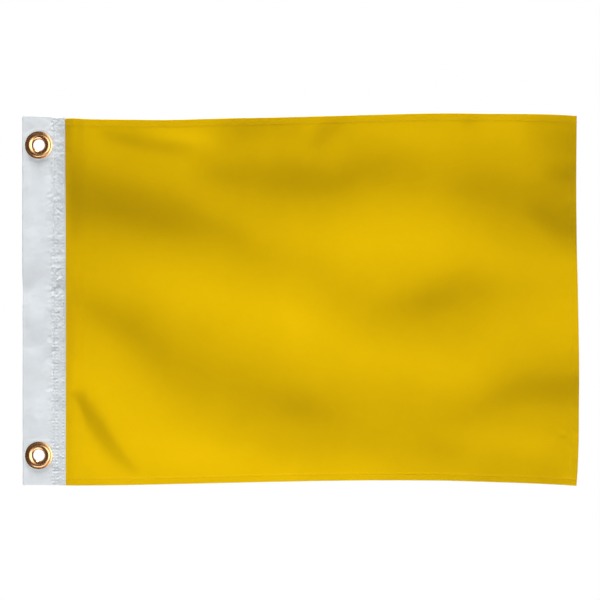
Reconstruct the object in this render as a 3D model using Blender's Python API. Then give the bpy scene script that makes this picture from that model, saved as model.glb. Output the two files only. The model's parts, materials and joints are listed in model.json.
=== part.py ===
"""A plain yellow nylon flag: a hemmed fly sewn into a folded white heading with brass grommets.

The flag hangs flat, as it is flown. +X runs along the fly, away from the hoist, +Z is up, and
the front of the cloth faces -Y. The origin is the centre of the upper grommet's hole, in the
plane of the fly's cloth. The fly swings about the line where its cloth leaves the heading.
"""

import math
from collections import namedtuple

import bmesh
import bpy

MM = 0.001

# ---- Overall sizes ----
FLAG_LENGTH = 457.2 * MM
FLAG_HEIGHT = 304.8 * MM
HEADING_WIDTH = 35.6 * MM

# ---- Cloth, layer by layer ----
CLOTH = 0.25 * MM               # the fly's nylon
TAPE = 0.40 * MM                # one ply of the heading
PATCH = 0.25 * MM               # the stiffening inside the heading's corners
GAP = 0.30 * MM                 # between two layers that lie on each other
FOLD_RADIUS = 0.50 * MM         # outer corners of the heading's pressed fold

# ---- Hems, seams and thread ----
HEM_WIDTH = 6.0 * MM
HEM_TURNS = 2                   # extra layers of cloth in a double-turned hem
HEM_STITCH_INSET = 5.0 * MM     # from the cloth's edge to the hem's row of stitches
THREAD_RADIUS = 0.15 * MM
SEAM_END = 2.0 * MM             # the heading's rows stop this far inside its ends
SEAM_ROW_PITCH = 2.9 * MM       # between the heading's twin rows
SEAM_ROW_CLEARANCE = 0.8 * MM   # between the grommets' flanges and the first twin row
EDGE_ROW_INSET = 1.7 * MM       # from the heading's inner edge to the edge row
MARGIN_PAST_SEAM = 3.0 * MM     # the fly's cloth runs this far past the twin rows
PATCH_HEIGHT = 38.0 * MM
PATCH_INSET = 0.5 * MM          # inside the heading's ends and inner edge

# ---- Grommets and their washers ----
GROMMET_END_INSET = 24.4 * MM   # from the heading's ends to the grommets' centres
GROMMET_INSET = 13.5 * MM       # from the hoist edge to the grommets' centres
HOLE_RADIUS = 4.95 * MM
FLANGE_RADIUS = 11.3 * MM
CREST_RADIUS = 8.0 * MM         # where the domed flange is highest
DOME_FOOT_RADIUS = 9.9 * MM     # where the dome meets the flat rim
DOME_HEIGHT = 1.6 * MM          # the crest above the rim, at mid wall
THROAT_DEPTH = 2.2 * MM         # the dome's inner side falls this far to the straight barrel
BRASS = 0.50 * MM
CURL_RADIUS = 0.90 * MM         # the barrel's rolled end, at mid wall
ROUND_SIDES = 32

# ---- The line where the fly bends ----
HINGE_PAST_HEADING = 1.5 * MM   # from the heading's inner edge to the bend
HINGE_HALF_GAP = 0.20 * MM
HEM_PAST_HINGE = 1.5 * MM       # the hem's extra layers start this far past the fly's edge
THREAD_PAST_HEM = 1.5 * MM      # and the hem's stitches this far past those

# ---- How the fly ripples as it hangs ----
CELL = 16.0 * MM                # spacing of the fly's facets
RIPPLE_START = 30.0 * MM        # the ripples grow over this length next to the heading
HEM_STEP = 0.3 * MM             # over which a hem's layers come in

Fold = namedtuple("Fold", "start end bow half_width lean")
# Each fold runs from start to end, given as distances along the fly from the bend and above the
# flag's centre line. bow arches it upwards; lean is how far the cloth tips out at its top.
FOLDS = [
    Fold((0.000, 0.086), (0.200, 0.030), 0.008, 0.018, 0.26),
    Fold((0.010, 0.000), (0.250, -0.108), -0.010, 0.013, 0.20),
    Fold((0.110, 0.118), (0.300, 0.112), -0.012, 0.013, 0.20),
    Fold((0.290, 0.110), (0.425, 0.062), 0.000, 0.014, 0.20),
    Fold((0.230, -0.004), (0.400, 0.018), -0.006, 0.012, 0.18),
    Fold((0.290, -0.098), (0.425, -0.060), 0.004, 0.010, 0.20),
]
# How far the whole fly rides up or down its own plane, at distances from the bend.
DRIFT = [(0.010, 0.0), (0.095, -0.0012), (0.300, 0.0037), (0.430, 0.0)]

# ---- Worked out from the sizes above ----
TOP = GROMMET_END_INSET
BOTTOM = TOP - FLAG_HEIGHT
HOIST = -GROMMET_INSET
HEADING_EDGE = HOIST + HEADING_WIDTH
HINGE = HEADING_EDGE + HINGE_PAST_HEADING
FLY_START = HINGE + HINGE_HALF_GAP
FLY_END = HOIST + FLAG_LENGTH
HEM_START = FLY_START + HEM_PAST_HINGE
THREAD_START = HEM_START + THREAD_PAST_HEM

# Each layer's place across the heading: the fly's cloth is at y = 0, patches are in front of it.
PATCH_BACK = -CLOTH / 2 - GAP
PATCH_FRONT = PATCH_BACK - PATCH
TAPE_INNER_FRONT = PATCH_FRONT - GAP
TAPE_FRONT = TAPE_INNER_FRONT - TAPE
TAPE_INNER_BACK = CLOTH / 2 + GAP
TAPE_BACK = TAPE_INNER_BACK + TAPE

BARREL_MID_RADIUS = HOLE_RADIUS + BRASS / 2
EYELET_RADIUS = HOLE_RADIUS + BRASS + GAP
TWIN_ROWS = {
    "first_row": FLANGE_RADIUS + SEAM_ROW_CLEARANCE,
    "second_row": FLANGE_RADIUS + SEAM_ROW_CLEARANCE + SEAM_ROW_PITCH,
}
GROMMETS = {"upper": 0.0, "lower": BOTTOM + GROMMET_END_INSET}


# ---- Building tools ----

def clear_scene():
    for thing in list(bpy.data.objects):
        bpy.data.objects.remove(thing, do_unlink=True)


def make_material(name, colour, roughness, metallic=0.0):
    material = bpy.data.materials.new(name)
    material.use_nodes = True
    shader = material.node_tree.nodes["Principled BSDF"]
    shader.inputs["Base Color"].default_value = (*colour, 1.0)
    shader.inputs["Roughness"].default_value = roughness
    shader.inputs["Metallic"].default_value = metallic
    return material


def add_object(name, bm, material, parent=None, smooth=False):
    """Turn a bmesh drawn in world coordinates into one named object."""
    bmesh.ops.recalc_face_normals(bm, faces=bm.faces)
    mesh = bpy.data.meshes.new(name)
    bm.to_mesh(mesh)
    bm.free()
    mesh.materials.append(material)
    if smooth:
        mesh.shade_smooth()
        mesh.set_sharp_from_angle(angle=math.radians(35))
    thing = bpy.data.objects.new(name, mesh)
    bpy.context.scene.collection.objects.link(thing)
    if parent is not None:
        thing.parent = parent
        thing.matrix_parent_inverse = parent.matrix_world.inverted()
    return thing


def loft(rings, cyclic=False):
    """Skin a row of equal rings of points, with a cap on each end or closed on itself."""
    bm = bmesh.new()
    rows = [[bm.verts.new(point) for point in ring] for ring in rings]
    pairs = list(zip(rows, rows[1:]))
    if cyclic:
        pairs.append((rows[-1], rows[0]))
    else:
        bm.faces.new(rows[0])
        bm.faces.new(rows[-1])
    for near, far in pairs:
        for k in range(len(near)):
            after = (k + 1) % len(near)
            bm.faces.new((near[k], near[after], far[after], far[k]))
    return bm


def arc(centre, radii, start, end, steps):
    """Points on an ellipse's arc, with its angles in degrees."""
    angles = [math.radians(start + (end - start) * k / steps) for k in range(steps + 1)]
    return [(centre[0] + radii[0] * math.cos(a), centre[1] + radii[1] * math.sin(a)) for a in angles]


def pressed_profile(middle, wall):
    """The closed outline of a strip of one wall, bent along its middle line."""
    sides = ([], [])
    for k, (u, v) in enumerate(middle):
        before = middle[max(k - 1, 0)]
        after = middle[min(k + 1, len(middle) - 1)]
        along = (after[0] - before[0], after[1] - before[1])
        length = math.hypot(*along)
        across = (-along[1] / length * wall / 2, along[0] / length * wall / 2)
        sides[0].append((u + across[0], v + across[1]))
        sides[1].append((u - across[0], v - across[1]))
    return sides[0] + sides[1][::-1]


def turned(outline, height):
    """Turn an outline of (radius, y) points about a line along Y through x = 0 and z = height."""
    rings = []
    for k in range(ROUND_SIDES):
        angle = math.tau * k / ROUND_SIDES
        rings.append([(r * math.cos(angle), y, height + r * math.sin(angle)) for r, y in outline])
    return loft(rings, cyclic=True)


def upright_prism(outline, low, high):
    """Stand an outline of (x, y) points up between two heights."""
    return loft([[(x, y, z) for x, y in outline] for z in (low, high)])


def box_outline(x_low, x_high, y_low, y_high):
    return [(x_low, y_low), (x_high, y_low), (x_high, y_high), (x_low, y_high)]


def strand(points, along):
    """A thread with a square section through points; along is "x" or "z", the way it runs."""
    r = THREAD_RADIUS
    corners = [(-r, -r), (r, -r), (r, r), (-r, r)]
    if along == "x":
        rings = [[(x, y + a, z + b) for a, b in corners] for x, y, z in points]
    else:
        rings = [[(x + a, y + b, z) for a, b in corners] for x, y, z in points]
    return loft(rings)


def spaced(low, high, step):
    """Evenly spaced values from low to high, both included, about a step apart."""
    count = max(1, round((high - low) / step))
    return [low + (high - low) * k / count for k in range(count + 1)]


def ease(share):
    share = min(max(share, 0.0), 1.0)
    return share * share * (3 - 2 * share)


# ---- The fly's surface ----

def fold_height(fold, along, above):
    """How far one fold pushes the cloth towards the front at one place."""
    run = (fold.end[0] - fold.start[0], fold.end[1] - fold.start[1])
    length = math.hypot(*run)
    there = (along - fold.start[0], above - fold.start[1])
    share = (there[0] * run[0] + there[1] * run[1]) / length ** 2
    across = (there[1] * run[0] - there[0] * run[1]) / length - fold.bow * 4 * share * (1 - share)
    strength = math.exp(-(2 * share - 1) ** 4)
    return fold.lean * across * math.exp(-(across / fold.half_width) ** 2 / 2) * strength


def drift(along):
    """How far the fly rides up at one distance from the bend."""
    if along <= DRIFT[0][0]:
        return DRIFT[0][1]
    for (near, low), (far, high) in zip(DRIFT, DRIFT[1:]):
        if along <= far:
            return low + (high - low) * ease((along - near) / (far - near))
    return DRIFT[-1][1]


def cloth_point(x, z, offset=0.0):
    """A point of the rippled fly, pushed back by offset from the middle of its cloth."""
    along = x - HINGE
    above = z - (TOP + BOTTOM) / 2
    height = sum(fold_height(fold, along, above) for fold in FOLDS)
    return (x, offset - height * ease(along / RIPPLE_START), z + drift(along))


def hem_thickness(x, z):
    """The extra cloth behind one place of the fly."""
    if x < HEM_START:
        return 0.0
    inside = min(TOP - z, z - BOTTOM, FLY_END - x)
    return HEM_TURNS * CLOTH if inside < HEM_WIDTH + HEM_STEP / 2 else 0.0


def fly_grid():
    """The columns and rows of the fly, with lines on its hems' folds and stitches."""
    lines = (HEM_WIDTH + HEM_STEP, HEM_WIDTH, HEM_STITCH_INSET, 0.0)
    columns = [FLY_START, HEM_START - HEM_STEP, HEM_START, THREAD_START]
    columns += spaced(THREAD_START, FLY_END - lines[0], CELL)[1:]
    columns += [FLY_END - inset for inset in lines[1:]]
    rows = [BOTTOM + inset for inset in reversed(lines)]
    rows += spaced(rows[-1], TOP - lines[0], CELL)[1:]
    rows += [TOP - inset for inset in lines[1:]]
    return columns, rows


# ---- The pieces ----

def make_fly_panel(cloth, pivot):
    columns, rows = fly_grid()
    bm = bmesh.new()
    front = [[bm.verts.new(cloth_point(x, z, -CLOTH / 2)) for z in rows] for x in columns]
    back = [[bm.verts.new(cloth_point(x, z, CLOTH / 2 + hem_thickness(x, z))) for z in rows]
            for x in columns]
    last_column, last_row = len(columns) - 1, len(rows) - 1
    for i in range(last_column):
        for j in range(last_row):
            for side in (front, back):
                bm.faces.new((side[i][j], side[i + 1][j], side[i + 1][j + 1]))
                bm.faces.new((side[i][j], side[i + 1][j + 1], side[i][j + 1]))
    rim = [(i, 0) for i in range(last_column)] + [(last_column, j) for j in range(last_row)]
    rim += [(i, last_row) for i in range(last_column, 0, -1)] + [(0, j) for j in range(last_row, 0, -1)]
    for (i, j), (p, q) in zip(rim, rim[1:] + rim[:1]):
        bm.faces.new((front[i][j], front[p][q], back[p][q], back[i][j]))
    add_object("fly_panel", bm, cloth, pivot, smooth=True)


def make_hoist_margin(cloth):
    """The fly's cloth inside the heading, up to the line where it bends."""
    inner = TWIN_ROWS["first_row"] - MARGIN_PAST_SEAM
    outline = box_outline(inner, HINGE - HINGE_HALF_GAP, -CLOTH / 2, CLOTH / 2)
    add_object("fly_hoist_margin", upright_prism(outline, BOTTOM, TOP), cloth)


def cut_eyelets(thing, cutters):
    for height, cutter in cutters.items():
        cut = thing.modifiers.new(f"eyelet_{height}", "BOOLEAN")
        cut.operation = "DIFFERENCE"
        cut.solver = "EXACT"
        cut.object = cutter


def make_eyelet_cutters():
    """One guide for each grommet, through every layer of the heading."""
    cutters = {}
    for which, height in GROMMETS.items():
        reach = (TAPE_FRONT - 2 * MM, TAPE_BACK + 2 * MM)
        rings = []
        for y in reach:
            turn = [math.tau * k / ROUND_SIDES for k in range(ROUND_SIDES)]
            rings.append([(EYELET_RADIUS * math.cos(a), y, height + EYELET_RADIUS * math.sin(a))
                          for a in turn])
        cutter = bpy.data.objects.new(f"{which}_eyelet_guide", bpy.data.meshes.new("eyelet"))
        bm = loft(rings)
        bmesh.ops.recalc_face_normals(bm, faces=bm.faces)
        bm.to_mesh(cutter.data)
        bm.free()
        bpy.context.scene.collection.objects.link(cutter)
        cutter.hide_render = True
        cutter.display_type = "WIRE"
        cutters[which] = cutter
    return cutters


def make_heading_tape(tape, cutters):
    """The tape, folded in half around the hoist edge with a pressed-flat fold."""
    corner = (FOLD_RADIUS, FOLD_RADIUS)
    front_corner = (HOIST + FOLD_RADIUS, TAPE_FRONT + FOLD_RADIUS)
    back_corner = (HOIST + FOLD_RADIUS, TAPE_BACK - FOLD_RADIUS)
    outline = [(HEADING_EDGE, TAPE_FRONT)]
    outline += arc(front_corner, corner, 270, 180, 3)
    outline += arc(back_corner, corner, 180, 90, 3)
    outline += [(HEADING_EDGE, TAPE_BACK), (HEADING_EDGE, TAPE_INNER_BACK)]
    outline += [(HOIST + TAPE, TAPE_INNER_BACK), (HOIST + TAPE, TAPE_INNER_FRONT)]
    outline += [(HEADING_EDGE, TAPE_INNER_FRONT)]
    thing = add_object("heading_tape", upright_prism(outline, BOTTOM, TOP), tape)
    cut_eyelets(thing, cutters)


def make_patches(stiffening, cutters):
    """A square of stiffening inside each end of the heading, around its grommet."""
    spans = {"upper": (TOP - PATCH_INSET - PATCH_HEIGHT, TOP - PATCH_INSET),
             "lower": (BOTTOM + PATCH_INSET, BOTTOM + PATCH_INSET + PATCH_HEIGHT)}
    outline = box_outline(HOIST + TAPE + GAP, HEADING_EDGE - PATCH_INSET, PATCH_FRONT, PATCH_BACK)
    for which, (low, high) in spans.items():
        thing = add_object(f"{which}_reinforcement_patch", upright_prism(outline, low, high),
                           stiffening)
        cut_eyelets(thing, {which: cutters[which]})


def grommet_outline():
    """Rim, dome, throat, barrel and rolled end, as one pressed strip of brass."""
    rim_y = TAPE_FRONT - GAP - BRASS / 2
    inner_reach = CREST_RADIUS - BARREL_MID_RADIUS
    outer_reach = DOME_FOOT_RADIUS - CREST_RADIUS
    curl_y = TAPE_BACK + GAP + BRASS + GAP
    crest_y = rim_y - DOME_HEIGHT
    middle = [(FLANGE_RADIUS, rim_y)]
    middle += arc((CREST_RADIUS, rim_y), (outer_reach, -DOME_HEIGHT), 0, 90, 4)
    throat = (CREST_RADIUS, crest_y + THROAT_DEPTH)
    middle += arc(throat, (inner_reach, -THROAT_DEPTH), 90, 180, 5)[1:]
    curl = (BARREL_MID_RADIUS + CURL_RADIUS, curl_y)
    middle += arc(curl, (CURL_RADIUS, CURL_RADIUS), 180, 0, 6)
    return pressed_profile(middle, BRASS)


def washer_outline():
    """A ring with a shallow dome, seated on the heading's back."""
    seat = TAPE_BACK + GAP
    return [(EYELET_RADIUS, seat), (FLANGE_RADIUS, seat), (FLANGE_RADIUS, seat + BRASS),
            (EYELET_RADIUS, seat + BRASS)]


def make_grommets(brass):
    for which, height in GROMMETS.items():
        add_object(f"{which}_grommet", turned(grommet_outline(), height), brass, smooth=True)
        add_object(f"{which}_grommet_washer", turned(washer_outline(), height), brass, smooth=True)


def make_heading_threads(thread):
    """Each row's needle thread lies on the front of the heading and its bobbin thread behind."""
    rows = dict(TWIN_ROWS, edge_row=HEADING_EDGE - EDGE_ROW_INSET)
    reach = GAP + THREAD_RADIUS
    sides = {"needle": TAPE_FRONT - reach, "bobbin": TAPE_BACK + reach}
    for row, x in rows.items():
        for side, y in sides.items():
            ends = [(x, y, BOTTOM + SEAM_END), (x, y, TOP - SEAM_END)]
            add_object(f"heading_{row}_{side}_thread", strand(ends, "z"), thread)


def make_hem_threads(thread, pivot):
    """A row of stitches along the top, bottom and fly hems, on each side of the cloth."""
    columns, rows = fly_grid()
    columns = [x for x in columns if THREAD_START <= x <= FLY_END - HEM_WIDTH]
    inset = HEM_STITCH_INSET
    paths = {
        "top": ("x", [(x, TOP - inset) for x in columns]),
        "bottom": ("x", [(x, BOTTOM + inset) for x in columns]),
        "fly": ("z", [(FLY_END - inset, z) for z in rows]),
    }
    reach = CLOTH / 2 + GAP + THREAD_RADIUS
    sides = {"needle": -reach, "bobbin": reach + HEM_TURNS * CLOTH}
    for hem, (along, path) in paths.items():
        for side, offset in sides.items():
            points = [cloth_point(x, z, offset) for x, z in path]
            add_object(f"{hem}_hem_{side}_thread", strand(points, along), thread, pivot)


def main():
    clear_scene()
    yellow_cloth = make_material("yellow_nylon", (0.80, 0.49, 0.01), 0.55)
    white_tape = make_material("white_heading_tape", (0.74, 0.77, 0.79), 0.60)
    stiffening = make_material("white_stiffening", (0.80, 0.80, 0.78), 0.75)
    brass = make_material("polished_brass", (0.83, 0.58, 0.26), 0.22, metallic=1.0)
    white_thread = make_material("white_thread", (0.80, 0.80, 0.78), 0.60)
    yellow_thread = make_material("yellow_thread", (0.78, 0.50, 0.03), 0.60)

    pivot = bpy.data.objects.new("fly_swing_axis", None)
    pivot.location = (HINGE, 0.0, 0.0)
    bpy.context.scene.collection.objects.link(pivot)
    bpy.context.view_layer.update()

    cutters = make_eyelet_cutters()
    make_heading_tape(white_tape, cutters)
    make_patches(stiffening, cutters)
    make_hoist_margin(yellow_cloth)
    make_fly_panel(yellow_cloth, pivot)
    make_grommets(brass)
    make_heading_threads(white_thread)
    make_hem_threads(yellow_thread, pivot)


main()
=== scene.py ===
"""The looks of a plain yellow nylon flag, built around its CAD frame.

The fly hangs from a folded white heading with two brass grommets. +X runs along the fly, +Z is
up and the front faces -Y. Every length is in metres. The cloths are closed sheets whose relief
comes from named soft folds, and every row of stitches is laid by Geometry Nodes along a path on
the cloth that it holds.
"""

import json
import logging
import math
from dataclasses import dataclass, field
from enum import Enum
from typing import Any, Iterable, Sequence

import bmesh
import bpy
import numpy as np
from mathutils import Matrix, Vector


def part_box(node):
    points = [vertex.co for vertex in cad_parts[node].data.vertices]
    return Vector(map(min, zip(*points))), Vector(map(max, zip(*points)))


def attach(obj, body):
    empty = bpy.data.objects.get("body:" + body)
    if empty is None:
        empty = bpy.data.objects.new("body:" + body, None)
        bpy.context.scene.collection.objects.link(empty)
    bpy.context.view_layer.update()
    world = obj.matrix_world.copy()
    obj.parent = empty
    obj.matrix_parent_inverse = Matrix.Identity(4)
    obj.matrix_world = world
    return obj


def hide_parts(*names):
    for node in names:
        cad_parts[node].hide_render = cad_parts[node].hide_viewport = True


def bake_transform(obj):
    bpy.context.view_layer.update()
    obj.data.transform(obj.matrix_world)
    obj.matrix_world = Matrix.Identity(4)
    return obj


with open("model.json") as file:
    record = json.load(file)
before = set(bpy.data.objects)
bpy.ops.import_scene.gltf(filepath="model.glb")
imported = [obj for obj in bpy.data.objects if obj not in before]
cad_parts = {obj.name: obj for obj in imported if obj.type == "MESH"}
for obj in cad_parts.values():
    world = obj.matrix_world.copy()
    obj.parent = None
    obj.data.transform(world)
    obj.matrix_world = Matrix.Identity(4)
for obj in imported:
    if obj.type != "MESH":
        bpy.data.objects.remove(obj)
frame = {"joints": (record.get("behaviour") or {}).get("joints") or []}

LOG = logging.getLogger("flag")
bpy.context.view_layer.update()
MM = 0.001
SHARP_ANGLE = 50.0
MERGE_DISTANCE = 0.0001 * MM

Point2 = tuple[float, float]
Knot = tuple[float, float, float, float]
Colour = tuple[float, float, float]


class Side(Enum):
    """The two sides of the flag; the value is the sign of each one's outward Y."""

    FRONT = -1
    BACK = 1


class End(Enum):
    """The heading's two ends, which have a grommet and a stiffening patch each."""

    UPPER = "upper"
    LOWER = "lower"


class Hem(Enum):
    """The three hemmed edges of the fly."""

    TOP = "top"
    BOTTOM = "bottom"
    FLY = "fly"


# ---------------------------------------------------------------------------------------------
# The frame
# ---------------------------------------------------------------------------------------------

@dataclass(frozen=True)
class Layout:
    """Where the CAD pieces are.

    Attributes:
        hoist: The X of the heading's folded edge.
        heading_edge: The X of the heading's inner edge.
        top: The Z of the heading's upper end.
        bottom: The Z of its lower end.
        tape_front: The Y of the heading's front face.
        tape_back: The Y of its back face.
        hinge: The X of the line where the fly bends.
        fly_end: The X of the fly's far edge.
        grommets: The Z of each grommet's centre.
        flange_radius: The radius of a grommet's rim.
    """

    hoist: float
    heading_edge: float
    top: float
    bottom: float
    tape_front: float
    tape_back: float
    hinge: float
    fly_end: float
    grommets: dict[End, float]
    flange_radius: float

    @classmethod
    def from_frame(cls) -> "Layout":
        """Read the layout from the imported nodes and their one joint.

        Returns:
            The layout of this flag.
        """
        low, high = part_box("heading_tape")
        fly_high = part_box("fly_panel")[1]
        centres = {}
        for end in End:
            rim_low, rim_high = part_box(f"{end.value}_grommet")
            centres[end] = (rim_low.z + rim_high.z) / 2
        return cls(hoist=low.x, heading_edge=high.x, top=high.z, bottom=low.z, tape_front=low.y,
                   tape_back=high.y, hinge=frame["joints"][0]["pos_m"][0], fly_end=fly_high.x,
                   grommets=centres, flange_radius=(rim_high.x - rim_low.x) / 2)

    @property
    def middle(self) -> float:
        """The Z of the flag's centre line."""
        return (self.top + self.bottom) / 2

    @property
    def half_height(self) -> float:
        """Half the flag's height."""
        return (self.top - self.bottom) / 2

    @property
    def ends(self) -> dict[End, Point2]:
        """Each end's Z, and the sign of the way inwards from it."""
        return {End.UPPER: (self.top, -1.0), End.LOWER: (self.bottom, 1.0)}


# ---------------------------------------------------------------------------------------------
# Shapes that follow a rule
# ---------------------------------------------------------------------------------------------

def ease(share: np.ndarray | float) -> np.ndarray | float:
    """Turn a share from 0 to 1 into a smooth step, and hold it at both ends.

    Args:
        share: One share or an array of them.

    Returns:
        The eased share, or shares.
    """
    share = np.clip(share, 0.0, 1.0)
    return share * share * (3.0 - 2.0 * share)


def bell(distance: np.ndarray, width: float, power: int = 2) -> np.ndarray:
    """A smooth hump, 1 in its middle and falling off past its width.

    Args:
        distance: How far each place is from the middle.
        width: The hump's half-width.
        power: How square its shoulders are, an even number.

    Returns:
        The hump's height at each place.
    """
    return np.exp(-(distance / width) ** power)


def smooth_line(places: Sequence[float], values: Sequence[float], where: np.ndarray) -> np.ndarray:
    """Run a smooth curve through a few points, without a kink at any of them.

    Args:
        places: The points' places, in order.
        values: Their values.
        where: The places to read.

    Returns:
        The values there, held level past both ends.
    """
    knots, heights = np.array(places, float), np.array(values, float)
    tangents = np.gradient(heights, knots)
    where = np.clip(where, knots[0], knots[-1])
    k = np.clip(np.searchsorted(knots, where) - 1, 0, len(knots) - 2)
    span = knots[k + 1] - knots[k]
    t = (where - knots[k]) / span
    return ((1 + 2 * t) * (1 - t) ** 2 * heights[k] + t * (1 - t) ** 2 * span * tangents[k]
            + t ** 2 * (3 - 2 * t) * heights[k + 1] - t ** 2 * (1 - t) * span * tangents[k + 1])


def edge_line(points: Sequence[Point2], where: np.ndarray) -> np.ndarray:
    """Read a cloth edge's shift from its few points, which are in millimetres.

    Args:
        points: The edge's (place, shift) points, in order.
        where: The places to read, in metres.

    Returns:
        The shift at each place, in metres.
    """
    places, shifts = zip(*points)
    return smooth_line(places, shifts, where / MM) * MM


def wander(where: np.ndarray, length: float, seed: float) -> np.ndarray:
    """A smooth irregular wave between about -1 and 1.

    Args:
        where: The places to read.
        length: The typical length of one wave.
        seed: Which wave; each seed gives its own.

    Returns:
        The wave's height at each place.
    """
    total = np.zeros(np.shape(where), float)
    for k, stretch in enumerate((1.0, 0.63, 1.58, 0.41, 2.7)):
        phase = math.fmod(seed * 12.9898 + k * 78.233, math.tau)
        total = total + np.sin(math.tau * where / (length * stretch) + phase)
    return total / 2.6


def patch_corner(first: np.ndarray, second: np.ndarray, seed: float) -> np.ndarray:
    """A fixed random value for each corner of a grid of patches.

    Args:
        first: The corners' whole numbers along one direction.
        second: Their whole numbers across it.
        seed: Which pattern.

    Returns:
        Each corner's value, between -1 and 1.
    """
    mixed = np.sin(first * 127.1 + second * 311.7 + seed * 74.7) * 437.585
    return 2.0 * (mixed - np.floor(mixed)) - 1.0


def mottle(first: np.ndarray, second: np.ndarray, size: Point2, seed: float) -> np.ndarray:
    """A smooth patchy unevenness between -1 and 1 over a surface.

    Args:
        first: The places along one direction.
        second: The places across it.
        size: A patch's typical length along each.
        seed: Which pattern; each seed gives its own.

    Returns:
        The unevenness at each place.
    """
    u, v = np.broadcast_arrays(first / size[0], second / size[1])
    i, j = np.floor(u), np.floor(v)
    across, up = ease(u - i), ease(v - j)
    low, high = (patch_corner(i, row, seed) * (1 - across) + patch_corner(i + 1, row, seed) * across
                 for row in (j, j + 1))
    return low * (1 - up) + high * up


def arc(centre: Point2, radii: Point2, start: float, end: float, steps: int) -> list[Point2]:
    """Points along an ellipse's arc.

    Args:
        centre: The ellipse's centre.
        radii: Its two half-widths.
        start: The first angle, in degrees.
        end: The last angle, in degrees.
        steps: How many stretches the arc has.

    Returns:
        The points, both ends included.
    """
    angles = np.radians(np.linspace(start, end, steps + 1))
    return [(centre[0] + radii[0] * math.cos(a), centre[1] + radii[1] * math.sin(a)) for a in angles]


def graded(low: float, high: float, step: float, near_low: Sequence[float],
           near_high: Sequence[float]) -> np.ndarray:
    """Places from low to high: an even spacing, with chosen insets near each end.

    Args:
        low: The first place.
        high: The last place.
        step: The spacing in between.
        near_low: Insets from the first place, growing.
        near_high: Insets from the last place, growing.

    Returns:
        The places, in order.
    """
    first = [low + inset for inset in near_low]
    last = [high - inset for inset in reversed(near_high)]
    count = max(1, round((last[0] - first[-1]) / step))
    between = np.linspace(first[-1], last[0], count + 1)[1:-1]
    return np.array([*first, *between, *last])


# ---------------------------------------------------------------------------------------------
# Meshes
# ---------------------------------------------------------------------------------------------

def show(name: str, data: bpy.types.ID) -> bpy.types.Object:
    """Put a mesh, a light or a camera into the scene.

    Args:
        name: The new object's name.
        data: The mesh, light or camera.

    Returns:
        The new object.
    """
    shown = bpy.data.objects.new(name, data)
    bpy.context.scene.collection.objects.link(shown)
    return shown


def face_outwards(mesh: bpy.types.Mesh, merge: float = 0.0) -> None:
    """Merge a mesh's doubles, if asked, and turn its faces outwards.

    Args:
        mesh: The mesh.
        merge: How near two vertices are merged; 0 merges none.
    """
    bm = bmesh.new()
    bm.from_mesh(mesh)
    if merge > 0:
        bmesh.ops.remove_doubles(bm, verts=bm.verts, dist=merge)
    bmesh.ops.recalc_face_normals(bm, faces=bm.faces)
    bm.to_mesh(mesh)
    bm.free()


def plain_mesh(piece: bpy.types.Object) -> bpy.types.Mesh:
    """Make a plain mesh of what a piece's modifiers show.

    Args:
        piece: The piece, with its modifiers.

    Returns:
        The new mesh.
    """
    bpy.context.view_layer.update()
    seen = piece.evaluated_get(bpy.context.evaluated_depsgraph_get())
    return bpy.data.meshes.new_from_object(seen)


def add_piece(name: str, corners: np.ndarray, faces: Sequence[Sequence[int]],
              material: bpy.types.Material, chart: np.ndarray) -> bpy.types.Object:
    """Make one smooth-shaded piece with its faces pointing outwards.

    Args:
        name: The piece's name.
        corners: Its vertices, one row each.
        faces: Its faces, as rows of vertex numbers.
        material: Its finish.
        chart: A UV place for each vertex, in metres of cloth.

    Returns:
        The new object.
    """
    mesh = bpy.data.meshes.new(name)
    mesh.from_pydata(corners.tolist(), [], [list(map(int, face)) for face in faces])
    layer = mesh.uv_layers.new(name="cloth")
    corner_of = np.zeros(len(mesh.loops), np.int32)
    mesh.loops.foreach_get("vertex_index", corner_of)
    layer.data.foreach_set("uv", chart[corner_of].astype(np.float32).ravel())
    face_outwards(mesh)
    mesh.materials.append(material)
    mesh.shade_smooth()
    mesh.set_sharp_from_angle(angle=math.radians(SHARP_ANGLE))
    return show(name, mesh)


def closed_sheet(name: str, near: np.ndarray, far: np.ndarray, chart: np.ndarray, bulge: float,
                 material: bpy.types.Material) -> bpy.types.Object:
    """Close two grids of points into one thin sheet with a rounded edge.

    Args:
        name: The piece's name.
        near: One face of the sheet, as columns of rows of points.
        far: The other face, the same size.
        chart: The flat cloth's (along, above) at each point.
        bulge: How far the edge stands out between the two faces.
        material: The sheet's finish.

    Returns:
        The new object.
    """
    columns, rows = near.shape[:2]
    number = np.arange(columns * rows).reshape(columns, rows)
    loop = [(i, 0) for i in range(columns - 1)] + [(columns - 1, j) for j in range(rows - 1)]
    loop += [(i, rows - 1) for i in range(columns - 1, 0, -1)] + [(0, j) for j in range(rows - 1, 0, -1)]
    index = np.array(loop)
    inner = np.clip(index, [1, 1], [columns - 2, rows - 2])
    middle = (near[index[:, 0], index[:, 1]] + far[index[:, 0], index[:, 1]]) / 2
    deeper = (near[inner[:, 0], inner[:, 1]] + far[inner[:, 0], inner[:, 1]]) / 2
    out = middle - deeper
    out /= np.linalg.norm(out, axis=1, keepdims=True)
    corners = np.concatenate([near.reshape(-1, 3), far.reshape(-1, 3), middle + out * bulge])
    size = columns * rows
    a, b = number[:-1, :-1].ravel(), number[1:, :-1].ravel()
    c, d = number[1:, 1:].ravel(), number[:-1, 1:].ravel()
    faces = [*np.stack([a, b, c, d], 1), *(np.stack([d, c, b, a], 1) + size)]
    here = number[index[:, 0], index[:, 1]]
    edge = 2 * size + np.arange(len(loop))
    after, edge_after = np.roll(here, -1), np.roll(edge, -1)
    faces += [*np.stack([here, edge, edge_after, after], 1)]
    faces += [*np.stack([edge, here + size, after + size, edge_after], 1)]
    flat = chart.reshape(-1, 2)
    return add_piece(name, corners, faces, material, np.concatenate([flat, flat, flat[here]]))


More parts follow.
